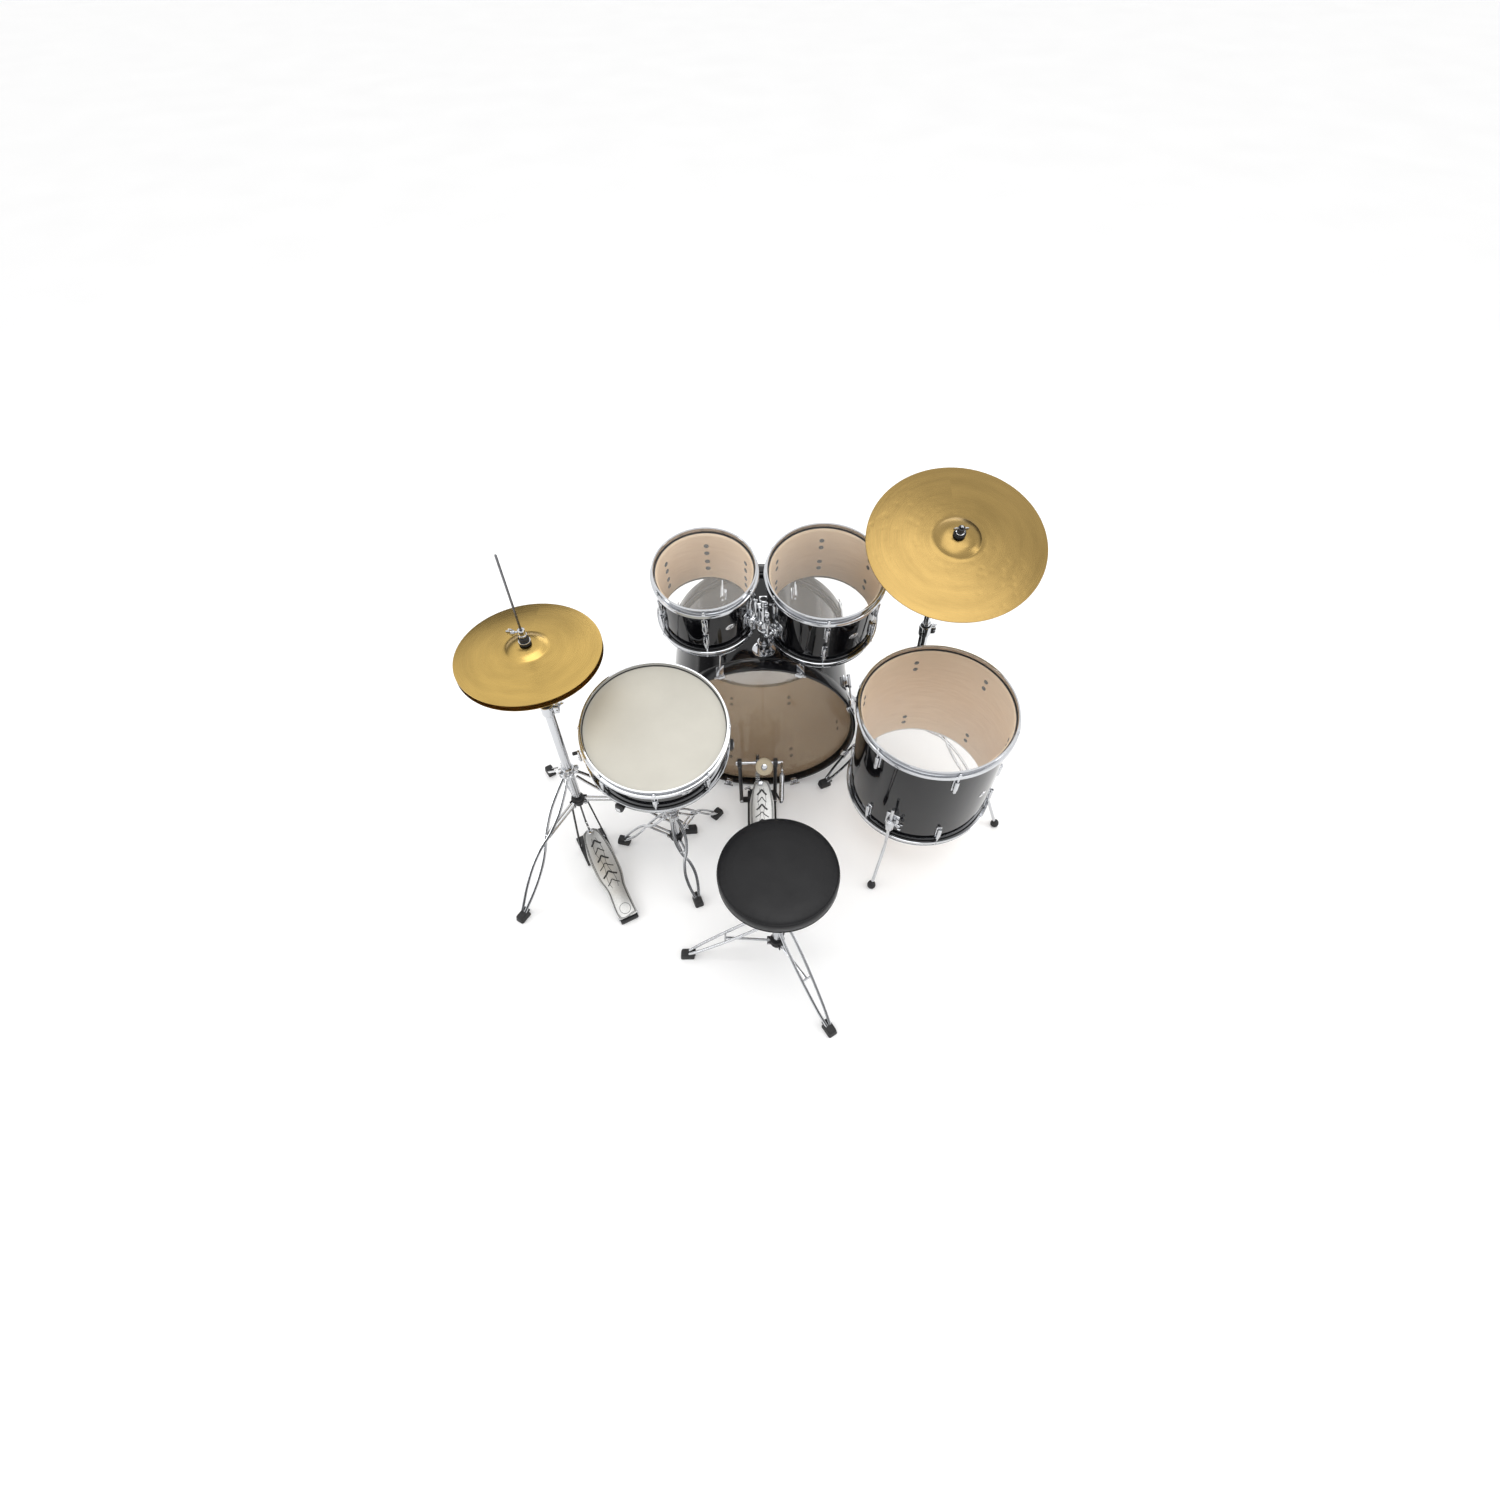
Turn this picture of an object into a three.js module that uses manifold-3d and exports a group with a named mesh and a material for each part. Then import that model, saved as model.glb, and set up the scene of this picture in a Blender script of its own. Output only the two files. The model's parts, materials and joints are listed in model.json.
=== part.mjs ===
// An acoustic drum kit: bass drum, rack toms, floor tom, snare drum, hi-hat, crash, pedals and throne.
// Millimetres. +Z is up, +X is the drummer's right, and +Y points away from the drummer along the bass drum.
// The origin is the centre of the bass drum pedal's base plate, on the floor.

import * as THREE from 'three';
import { mergeVertices } from 'three/addons/utils/BufferGeometryUtils.js';
import Module from 'manifold-3d';

const wasm = await Module();
wasm.setup();

// ---------------------------------------------------------------- driving dimensions

const GAP = 0.5; // air between pieces that touch on the real kit
const SLIDE = 1; // play between two telescoping tubes
const FACETS = 20; // facets round a tom, a snare drum or a cymbal
const BASS_FACETS = 30; // facets round the bass drum
const TUBE_FACETS = 10;
const SINK = 3; // how far a fitting is let into the wall that it is fixed to

// Where each stand and the throne stand: x, y on the floor
const HIHAT_PLACE = [-557, -43];
const HIHAT_PEDAL_TURN = 27.9; // degrees, from the bass drum's line
const SNARE_STAND_PLACE = [-266, -104];
const CRASH_PLACE = [482, 284];
const THRONE_PLACE = [36, -450];

// Bass drum. Its hoops clear the floor by the drum's height off it
const BASS = { radius: 279.4, depth: 406, wall: 7, lift: 3, offFloor: 4, lugs: 8, lugStart: 22.5 };
const BASS_HOOP = { clear: 3.6, thick: 9, front: 20, back: 18 };
const BASS_HOOP_INNER = BASS.radius + BASS_HOOP.clear;
const BASS_HOOP_OUTER = BASS_HOOP_INNER + BASS_HOOP.thick;
const BASS_CENTRE = [0, 165, BASS_HOOP_OUTER + BASS.offFloor]; // batter head's middle
const BASS_HEAD = { over: 2, ring: 7, ringHigh: 9 };
const CLAW = { width: 24, thick: 7, long: 34 };
const BASS_ROD = { radius: 3, out: 2.5, length: 62, handle: 34, handleThick: 6, proud: 10 };
const BASS_LUG = { width: 16, deep: 20, out: 6, long: 50 };
const SPUR = { radius: 6, drop: -30, out: 27, along: 310, lean: [0.5, 0.35, -0.79], top: 2 };
const SPUR_TIP = { radius: 9, high: 22 };
const SPUR_PAD = { radius: 17, clear: 4, deep: 31 };

// Tom holder, on the bass drum just behind its batter head's ring
const HOLDER = { x: 12, radius: 12.7, clear: 1.93, up: 15.6, high: 175, head: 1.3, headHigh: 30, foot: 6 };
const SOCKET = { wall: 6.5, below: 25, above: 22, flange: 21.5, flangeLow: 18, flangeHigh: 4 };
const LIFT = THREE.MathUtils.degToRad(BASS.lift);
const RING_BACK = (BASS_HOOP.back + GAP + BASS_HEAD.ringHigh) * Math.cos(LIFT);
const RING_RISE = (BASS.radius + BASS_HEAD.over + BASS_HEAD.ring) * Math.sin(LIFT);
const HOLDER_FRONT = BASS_CENTRE[1] + RING_BACK - RING_RISE + HOLDER.clear;
const HOLDER_PLACE = [HOLDER.x, HOLDER_FRONT + SOCKET.flange + GAP + HOLDER.radius];
const HOLDER_BASE = BASS_CENTRE[2] + BASS.radius + HOLDER.up;
const HOLDER_TOP = HOLDER_BASE + HOLDER.high;
const ARM = { radius: 5, bend: 12, behind: 8, inFront: 12 };
const ARM_CLAMP = { wide: 16, deep: 20, high: 22, clear: 4 };
const BRACKET = { width: 34, deep: 24, high: 44 };

// Shells: outer radius, wall, and height from hoop to hoop
const TOM_ONE = { radius: 127, height: 203, wall: 6, lugs: 6, lugStart: -90 };
const TOM_TWO = { radius: 152, height: 230, wall: 6, lugs: 6, lugStart: -90 };
const FLOOR_TOM = { radius: 203, height: 400, wall: 6, lugs: 6, lugStart: -83 };
const SNARE = { radius: 177.8, height: 130, wall: 6, lugs: 8, lugStart: -88 };

// A rack tom's shell is this far aside from the holder, and hangs this far below the holder's top
const TOM_ONE_HANG = { aside: 23, y: 189, below: 80 };
const TOM_TWO_HANG = { aside: 14, y: 245, below: 162 };
const TOM_ONE_BRACKET = { angle: -32, up: 83, clampX: -12, clampDown: 10 };
const TOM_TWO_BRACKET = { angle: 215, up: 90, clampX: 8, clampDown: 28 };
const FLOOR_TOM_CORNER = [265, 172]; // as near as its shell comes to the bass drum and the crash stand

// Rim centres and the directions that the heads face
const TOM_ONE_RIM = [
  HOLDER_PLACE[0] - TOM_ONE.radius - TOM_ONE_HANG.aside,
  TOM_ONE_HANG.y,
  HOLDER_TOP + TOM_ONE.height - TOM_ONE_HANG.below,
];
const TOM_ONE_FACING = [0.011, -0.224, 0.975];
const TOM_TWO_RIM = [
  HOLDER_PLACE[0] + TOM_TWO.radius + TOM_TWO_HANG.aside,
  TOM_TWO_HANG.y,
  HOLDER_TOP + TOM_TWO.height - TOM_TWO_HANG.below,
];
const TOM_TWO_FACING = [0.012, -0.239, 0.971];
const FLOOR_TOM_RIM = [FLOOR_TOM_CORNER[0] + FLOOR_TOM.radius, FLOOR_TOM_CORNER[1] - FLOOR_TOM.radius, 600];
const FLOOR_TOM_FACING = [-0.02, -0.095, 0.995];
const SNARE_RIM = [-265, -140, 667];
const SNARE_FACING = [0.064, -0.221, 0.973];
const CRASH_EDGE = [499, 232, 920];
const CRASH_FACING = [-0.012, -0.35, 0.937];

// Pressed steel hoop and drum head
const HOOP = { clear: 2.5, lip: 3, flange: 11, height: 19, turn: 17 };
const HEAD = { depth: 12, over: 2, collar: 8 }; // depth is from the hoop's top edge to the film
const FILM = 1;
const ROD = { radius: 3, reach: 8, head: 4 }; // tension rod: its axis is this far outside the shell
const LUG = { width: 14, deep: 17, high: 50, inset: 46 };

// Floor tom legs, with heights above the drum's lower edge
const LEG = { radius: 5, out: 18, top: 185, knee: 5, splay: 58, foot: 13, footHigh: 26, bend: 0.25 };
const LEG_REACH = FLOOR_TOM.radius + LEG.out;
const LEG_ANGLES = [-121, -4, 118];
const LEG_CLAMP = { width: 30, high: 44, up: 100, over: 10 };

// Stands: tubes, leg collar and stay collar heights, reach of the feet and their angles
const INNER_TUBE = 9.5;
const TUBE_WALL = 2.5;
const OUTER_TUBE = { bore: INNER_TUBE + SLIDE, tube: INNER_TUBE + SLIDE + TUBE_WALL };
const THRONE_POST = 12;
const THRONE_TUBE = { bore: THRONE_POST + GAP, tube: THRONE_POST + GAP + 1.5 };
const HIHAT_STAND = { collar: 365, stay: 222, reach: 330, angles: [-121, 123, 4], ...OUTER_TUBE };
const SNARE_STAND = { collar: 235, stay: 105, reach: 190, angles: [166, 51, -69], ...OUTER_TUBE };
const CRASH_STAND = { collar: 335, stay: 190, reach: 300, angles: [85, -35, -155], ...OUTER_TUBE };
const THRONE_STAND = { collar: 245, stay: 95, reach: 262, angles: [180, -58, 61], ...THRONE_TUBE };
const STAND_FOOT = { long: 42, wide: 28, high: 24 };
const STRAP = { wide: 5, thick: 8, rootApart: 12, footApart: 7, waist: 0.42, end: 0.95 };
const STAY = { wide: 22, thick: 4 };
const COLLAR = { half: 13, out: 8, below: 22 };
const SCREW = { long: 26, thick: 6, high: 20, out: 17, below: 18 };

const PULL_ROD = 3;
const HIHAT = {
  tubeTop: 640, bore: PULL_ROD + 2, lowerEdge: 812, upperEdge: 827, rodTop: 1108, rodBottom: 96,
};
const CLUTCH = { bore: PULL_ROD + GAP, stem: 6.2, felt: 15, body: 11 };
const CYMBAL = { radius: 178, bow: 15, bell: 52, bellHigh: 12, thick: 1.6, hole: CLUTCH.stem + 0.8 };
const CRASH = { tubeTop: 600, pivot: 850, drop: 70, pinRadius: 4, pinTop: 62 };
const CRASH_CYMBAL = { radius: 228, bow: 17, bell: 62, bellHigh: 15, thick: 1.6, hole: CRASH.pinRadius + 3 };
const BASKET = { hub: 16, drop: 44, clear: 19, tip: 12, lip: 24, wide: 22, reachUp: 10, low: 6, thick: 8 };
const BASKET_ANGLES = [-117, 3, 123];
const SNARE_TUBE = { low: 210, top: SNARE_RIM[2] - SNARE.height - BASKET.drop - BASKET.clear };
const SNARE_BASE_TOP = 330;
const STRAINER = { angle: 197, deep: 18, wide: 30, high: 50, height: -65 };
const BUTT = { deep: 14, wide: 26, high: 22 };
const LEVER = { thick: 8, wide: 14, high: 46, tabLong: 16, tabWide: 10, tabHigh: 8, tabUp: 18 };
const WIRES = { short: 40, wide: 46, thick: 2 };
const THRONE = { tubeTop: 262, panTop: 447, seatTop: 499, seatRadius: 150, panRadius: 88 };

// Pedals, each in its own frame: heel towards -Y
const BASS_PEDAL = {
  plateHalf: 138, plateWide: 96, plate: 6, tongue: 2.5,
  postLeft: -68, postRight: 44, postY: 100, postWide: 12, postDeep: 22, axleY: 90, axleZ: 215,
  heelY: -148, heelZ: 24, toeY: 84, toeZ: 128, board: 4,
};
const AXLE = { radius: 5.2, play: 0.8 };
const BEATER = { centreX: 8, reach: 180, lean: 42, radius: 25, high: 42, shaft: 3.2, root: 17 };
const CAM = { radius: 28, half: 5, x: -12 };
const HUB = { wide: 16, deep: 22 };
const ROCKER = { wide: 8, high: 10, out: 20, long: 40, behind: 6 };
const SPRING = { inner: 4, outer: 8, low: 40, below: 8, back: 30 };
const HEEL_BLOCK = { wide: 60, deep: 30, high: 14, back: 2 };
const HIHAT_PEDAL = { heelY: -318, heelZ: 22, toeY: -26, toeZ: 78, plateWide: 92, board: 4 };

// ---------------------------------------------------------------- finishes

function finish(color, roughness, metalness, opacity = 1) {
  return new THREE.MeshStandardMaterial({ color, roughness, metalness, opacity, transparent: opacity < 1 });
}

const CHROME = finish(0xd6d8db, 0.12, 1);
const DARK_STEEL = finish(0x3a3b3d, 0.3, 1);
const BLACK_METAL = finish(0x141415, 0.45, 0.5);
const GREY_METAL = finish(0xa9a8a6, 0.4, 0.8);
const BLACK_LACQUER = finish(0x08080a, 0.06, 0);
const CLEAR_HEAD = finish(0xe6e2dd, 0.15, 0, 0.25);
const COATED_HEAD = finish(0xcfcabc, 0.55, 0);
const SMOKED_HEAD = finish(0x6e6250, 0.2, 0, 0.6);
const BRASS = finish(0xc39a3c, 0.28, 1);
const FELT = finish(0xd8c9a4, 0.95, 0);
const BLACK_FELT = finish(0x101010, 0.95, 0);
const VINYL = finish(0x17181a, 0.5, 0);

// ---------------------------------------------------------------- shape helpers

const radians = THREE.MathUtils.degToRad;

// A point at an angle and radius round Z
function polar(angle, radius, z) {
  return new THREE.Vector3(radius * Math.cos(radians(angle)), radius * Math.sin(radians(angle)), z);
}

// A closed mesh as a solid, with its poles cleaned and its faces turned outwards
function solid(geometry) {
  const bare = geometry.clone();
  bare.deleteAttribute('normal');
  bare.deleteAttribute('uv');
  const merged = mergeVertices(bare, 1e-3);
  const corners = merged.attributes.position.array;
  const vertex = (i) => new THREE.Vector3().fromArray(corners, 3 * i);
  const faces = [];
  let volume = 0;
  for (let i = 0; i < merged.index.count; i += 3) {
    const [a, b, c] = merged.index.array.slice(i, i + 3);
    if (a === b || b === c || c === a) continue;
    faces.push([a, b, c]);
    volume += vertex(a).dot(vertex(b).cross(vertex(c)));
  }
  const outward = volume < 0 ? faces.map(([a, b, c]) => [a, c, b]) : faces;
  const triVerts = new Uint32Array(outward.flat());
  const vertProperties = new Float32Array(corners);
  return new wasm.Manifold(new wasm.Mesh({ numProp: 3, vertProperties, triVerts }));
}

function geometryOf(manifold) {
  const mesh = manifold.getMesh();
  const geometry = new THREE.BufferGeometry();
  geometry.setAttribute('position', new THREE.BufferAttribute(new Float32Array(mesh.vertProperties), 3));
  geometry.setIndex(new THREE.BufferAttribute(new Uint32Array(mesh.triVerts), 1));
  return geometry;
}

function join(...shapes) {
  return geometryOf(shapes.flat(3).map(solid).reduce((whole, piece) => whole.add(piece)));
}

function cut(shape, ...tools) {
  return geometryOf(tools.flat(3).map(solid).reduce((whole, tool) => whole.subtract(tool), solid(shape)));
}

// A profile of [radius, z] points turned round Z
function turned(profile, facets = FACETS) {
  const points = profile.map(([radius, z]) => new THREE.Vector2(radius, z));
  return new THREE.LatheGeometry(points, facets).rotateX(Math.PI / 2);
}

// A tube or washer: a rectangle turned round Z
function ring(inner, outer, low, high, facets = FACETS) {
  return turned([[inner, low], [outer, low], [outer, high], [inner, high], [inner, low]], facets);
}

function disc(radius, low, high, facets = TUBE_FACETS) {
  return turned([[0, low], [radius, low], [radius, high], [0, high]], facets);
}

function block(width, depth, height, x, y, z) {
  return new THREE.BoxGeometry(width, depth, height).translate(x, y, z);
}

// A round rod from one point to another
function rod(from, to, radius, sides = 6) {
  const axis = to.clone().sub(from);
  const up = new THREE.Vector3(0, 1, 0);
  const turn = new THREE.Quaternion().setFromUnitVectors(up, axis.clone().normalize());
  const shape = new THREE.CylinderGeometry(radius, radius, axis.length(), sides).applyQuaternion(turn);
  return shape.translate(...from.clone().add(to).multiplyScalar(0.5).toArray());
}

// A flat bar from one point to another, its width level and square to its run
function bar(from, to, width, thick) {
  const run = to.clone().sub(from);
  const along = run.clone().normalize();
  const across = new THREE.Vector3(0, 0, 1).cross(along).normalize();
  const basis = new THREE.Matrix4().makeBasis(along, across, along.clone().cross(across));
  basis.setPosition(from.clone().add(to).multiplyScalar(0.5));
  return new THREE.BoxGeometry(run.length() + thick, width, thick).applyMatrix4(basis);
}

// A round rod bent smoothly through points
function bentRod(points, radius, steps, sides = 6) {
  const section = new THREE.Shape(anglesRound(sides, 0).map((angle) => {
    const corner = polar(angle, radius, 0);
    return new THREE.Vector2(corner.x, corner.y);
  }));
  const path = new THREE.CatmullRomCurve3(points, false, 'centripetal');
  return new THREE.ExtrudeGeometry(section, { steps, extrudePath: path });
}

function turnedAbout(shape, angle) {
  return shape.rotateZ(radians(angle));
}

function anglesRound(count, start) {
  return Array.from({ length: count }, (_, i) => start + (360 * i) / count);
}

const kit = new THREE.Group();

function add(parent, name, shape, material) {
  const mesh = new THREE.Mesh(join(shape), material);
  mesh.name = name;
  parent.add(mesh);
  return mesh;
}

// A group whose +Z faces along a direction and whose +X stays as level as it can
function placed(origin, facing) {
  const z = new THREE.Vector3(...facing).normalize();
  const x = new THREE.Vector3(1, 0, 0).addScaledVector(z, -z.x).normalize();
  const group = new THREE.Group();
  group.quaternion.setFromRotationMatrix(new THREE.Matrix4().makeBasis(x, z.clone().cross(x), z));
  group.position.set(...origin);
  group.updateMatrix();
  kit.add(group);
  return group;
}

function standingAt([x, y], turn = 0) {
  const group = new THREE.Group();
  group.position.set(x, y, 0);
  group.rotation.z = radians(turn);
  group.updateMatrix();
  kit.add(group);
  return group;
}

// ---------------------------------------------------------------- drums with steel hoops

// The drum's own frame has its origin at the middle of the top rim, with the shell below
function hoopShape(drum) {
  const { radius } = drum;
  const inner = radius + HOOP.clear;
  const rim = turned([
    [inner, 0],
    [inner + HOOP.lip, 0],
    [radius + HOOP.flange, -HOOP.turn],
    [radius + HOOP.flange, -HOOP.height],
    [inner, -HOOP.height],
    [inner, 0],
  ]);
  const rods = anglesRound(drum.lugs, drum.lugStart).map((angle) => {
    const top = polar(angle, radius + ROD.reach, -ROD.head);
    const bottom = polar(angle, radius + ROD.reach, -LUG.inset + GAP);
    return rod(top, bottom, ROD.radius, 4);
  });
  return join(rim, rods);
}

function headShape(drum) {
  const edge = drum.radius + HEAD.over;
  const top = -HEAD.depth;
  return turned([
    [0, top],
    [edge, top],
    [edge, top - HEAD.collar],
    [drum.radius + GAP, top - HEAD.collar],
    [drum.radius + GAP, top - FILM],
    [0, top - FILM],
  ]);
}

function shellShape(drum, spanLugs) {
  const end = HEAD.depth + FILM + GAP;
  const low = end - drum.height;
  const shell = ring(drum.radius - drum.wall, drum.radius, low, -end);
  const lugReach = drum.radius + LUG.deep / 2 - SINK;
  const lugs = anglesRound(drum.lugs, drum.lugStart).map((angle) => {
    if (spanLugs) {
      const high = drum.height - 2 * LUG.inset;
      return turnedAbout(block(LUG.deep, LUG.width, high, lugReach, 0, -drum.height / 2), angle);
    }
    return [-LUG.inset - LUG.high / 2, LUG.inset + LUG.high / 2 - drum.height].map((z) =>
      turnedAbout(block(LUG.deep, LUG.width, LUG.high, lugReach, 0, z), angle));
  });
  return join(shell, lugs);
}

// The lower hoop and head mirror the upper ones
function mirroredDown(shape, drum) {
  const positions = shape.attributes.position;
  for (let i = 0; i < positions.count; i += 1) {
    positions.setZ(i, -positions.getZ(i) - drum.height);
  }
  return shape;
}

function addHoopsAndHeads(group, name, drum, topMaterial, bottomMaterial) {
  add(group, `${name}_top_hoop`, hoopShape(drum), CHROME);
  add(group, `${name}_bottom_hoop`, mirroredDown(hoopShape(drum), drum), CHROME);
  add(group, `${name}_batter_head`, headShape(drum), topMaterial);
  add(group, `${name}_lower_head`, mirroredDown(headShape(drum), drum), bottomMaterial);
}

// ---------------------------------------------------------------- rack toms and their holder

function bracketBlock(drum, bracket) {
  const x = drum.radius + BRACKET.deep / 2 - SINK;
  const shape = block(BRACKET.deep, BRACKET.width, BRACKET.high, x, 0, bracket.up - drum.height);
  return turnedAbout(shape, bracket.angle);
}

function addRackTom(name, drum, rim, facing, bracket) {
  const group = placed(rim, facing);
  // A point on the line that the arm takes through its bracket, this far out from the shell
  const onLine = (reach) => polar(bracket.angle, drum.radius + reach, bracket.up - drum.height);
  const inside = onLine(BRACKET.deep - ARM.behind).applyMatrix4(group.matrix);
  const outside = onLine(BRACKET.deep + ARM.inFront).applyMatrix4(group.matrix);
  const clampY = HOLDER_PLACE[1] - HOLDER.radius - ARM_CLAMP.clear - ARM_CLAMP.deep / 2;
  const clamp = new THREE.Vector3(HOLDER_PLACE[0] + bracket.clampX, clampY, HOLDER_TOP - bracket.clampDown);
  const bend = clamp.clone().lerp(outside, 0.5).add(new THREE.Vector3(0, -ARM.bend, 0));
  const route = [clamp, bend, outside, inside];
  const clampBlock = block(ARM_CLAMP.wide, ARM_CLAMP.deep, ARM_CLAMP.high, ...clamp.toArray());
  const arm = join(bentRod(route, ARM.radius, 9), clampBlock);
  const hole = bentRod(route, ARM.radius + GAP, 9).applyMatrix4(group.matrix.clone().invert());
  const pocket = onLine(BRACKET.deep - ARM.behind - 2);
  const mouth = rod(pocket, onLine(BRACKET.deep + ARM.inFront), ARM.radius + 4, 8);
  const shell = join(shellShape(drum, false), bracketBlock(drum, bracket));
  add(group, `${name}_shell`, cut(shell, mouth, hole), BLACK_LACQUER);
  addHoopsAndHeads(group, name, drum, CLEAR_HEAD, CLEAR_HEAD);
  add(kit, `${name}_arm`, arm, CHROME);
}

function addTomHolder() {
  const [x, y] = HOLDER_PLACE;
  const headWide = 2 * (HOLDER.radius + HOLDER.head);
  const post = [
    disc(HOLDER.radius, HOLDER_BASE + HOLDER.foot, HOLDER_TOP).translate(x, y, 0),
    block(headWide, headWide, HOLDER.headHigh, x, y, HOLDER_TOP + 1 - HOLDER.headHigh / 2),
  ];
  add(kit, 'tom_holder_post', post, CHROME);
  addRackTom('left_tom', TOM_ONE, TOM_ONE_RIM, TOM_ONE_FACING, TOM_ONE_BRACKET);
  addRackTom('right_tom', TOM_TWO, TOM_TWO_RIM, TOM_TWO_FACING, TOM_TWO_BRACKET);
}

// ---------------------------------------------------------------- bass drum

// The bass drum's own frame has +Z along its axis from the batter head, and +Y down
function bassGroup() {
  return placed(BASS_CENTRE, [0, Math.cos(LIFT), Math.sin(LIFT)]);
}

function bassHoopShape(direction) {
  const front = -BASS_HOOP.front;
  const end = front - BASS_ROD.proud;
  const reach = BASS_HOOP_OUTER + BASS_ROD.out;
  const hoop = ring(BASS_HOOP_INNER, BASS_HOOP_OUTER, front, BASS_HOOP.back, BASS_FACETS);
  const fittings = anglesRound(BASS.lugs, BASS.lugStart).map((angle) => {
    const clawX = BASS_HOOP_OUTER + CLAW.thick / 2 - SINK;
    const claw = block(CLAW.thick, CLAW.width, CLAW.long, clawX, 0, front + 10);
    const from = new THREE.Vector3(reach, 0, end);
    const to = new THREE.Vector3(reach, 0, BASS_ROD.length - GAP);
    const handle = block(BASS_ROD.radius * 2, BASS_ROD.handle, BASS_ROD.handleThick, reach, 0, end);
    return [claw, rod(from, to, BASS_ROD.radius, 4), handle].map((shape) => turnedAbout(shape, angle));
  });
  const shape = join(hoop, fittings);
  return direction > 0 ? shape : mirroredDown(shape, { height: -BASS.depth });
}

function bassHeadShape() {
  const edge = BASS.radius + BASS_HEAD.over;
  const seat = BASS_HOOP.back + GAP;
  const back = seat + BASS_HEAD.ringHigh;
  return turned([
    [0, -FILM - GAP],
    [edge, -FILM - GAP],
    [edge, seat],
    [edge + BASS_HEAD.ring, seat],
    [edge + BASS_HEAD.ring, back],
    [BASS.radius + GAP, back],
    [BASS.radius + GAP, -GAP],
    [0, -GAP],
  ], BASS_FACETS);
}

function bassShellShape(group) {
  const shell = ring(BASS.radius - BASS.wall, BASS.radius, 0, BASS.depth, BASS_FACETS);
  const { deep, width, long, out } = BASS_LUG;
  const near = BASS_ROD.length + long / 2;
  const lugAt = (z) => block(deep, width, long, BASS.radius + out, 0, z);
  const lugs = anglesRound(BASS.lugs, BASS.lugStart).map((angle) =>
    [near, BASS.depth - near].map((z) => turnedAbout(lugAt(z), angle)));
  const toLocal = group.matrix.clone().invert();
  const [x, y] = HOLDER_PLACE;
  const bore = HOLDER.radius + GAP;
  const { wall, below, above, flange, flangeLow, flangeHigh } = SOCKET;
  const mount = [
    ring(bore, bore + wall, HOLDER_BASE - below, HOLDER_BASE + above, TUBE_FACETS),
    ring(bore, bore + flange, HOLDER_BASE - flangeLow, HOLDER_BASE - flangeHigh, TUBE_FACETS),
  ].map((shape) => shape.translate(x, y, 0).applyMatrix4(toLocal));
  const spurPads = [-1, 1].map((side) => spurPad(side).applyMatrix4(toLocal));
  return join(shell, lugs, mount, spurPads);
}

// The drum's axis at the spurs, in the kit's frame
function spurMiddle() {
  return new THREE.Vector3(0, BASS_CENTRE[1] + SPUR.along, BASS_CENTRE[2] + Math.tan(LIFT) * SPUR.along);
}

function spurRoot(side) {
  const angle = side > 0 ? SPUR.drop : 180 - SPUR.drop;
  const upright = new THREE.Matrix4().makeRotationX(Math.PI / 2);
  return polar(angle, BASS.radius + SPUR.out, 0).applyMatrix4(upright).add(spurMiddle());
}

function spurPad(side) {
  const root = spurRoot(side);
  const inward = spurMiddle().sub(root).normalize();
  const near = root.clone().addScaledVector(inward, SPUR.radius + GAP + SPUR_PAD.clear);
  return rod(near, root.clone().addScaledVector(inward, SPUR_PAD.deep), SPUR_PAD.radius, TUBE_FACETS);
}

function spurShape(side) {
  const root = spurRoot(side);
  const lean = new THREE.Vector3(side * SPUR.lean[0], SPUR.lean[1], SPUR.lean[2]).normalize();
  const length = (root.z - SPUR_TIP.radius) / -lean.z;
  const foot = root.clone().addScaledVector(lean, length);
  const pad = disc(SPUR_TIP.radius, 0, SPUR_TIP.high, 8).translate(foot.x, foot.y, 0);
  return [rod(root.clone().addScaledVector(lean, -SPUR.top), foot, SPUR.radius), pad];
}

function addBassDrum() {
  const group = bassGroup();
  add(group, 'bass_shell', bassShellShape(group), BLACK_LACQUER);
  add(group, 'bass_batter_hoop', bassHoopShape(1), BLACK_LACQUER);
  add(group, 'bass_front_hoop', bassHoopShape(-1), BLACK_LACQUER);
  add(group, 'bass_batter_head', bassHeadShape(), SMOKED_HEAD);
  add(group, 'bass_front_head', mirroredDown(bassHeadShape(), { height: -BASS.depth }), CLEAR_HEAD);
  add(kit, 'bass_left_spur', spurShape(-1), CHROME);
  add(kit, 'bass_right_spur', spurShape(1), CHROME);
}

// ---------------------------------------------------------------- floor tom

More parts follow.
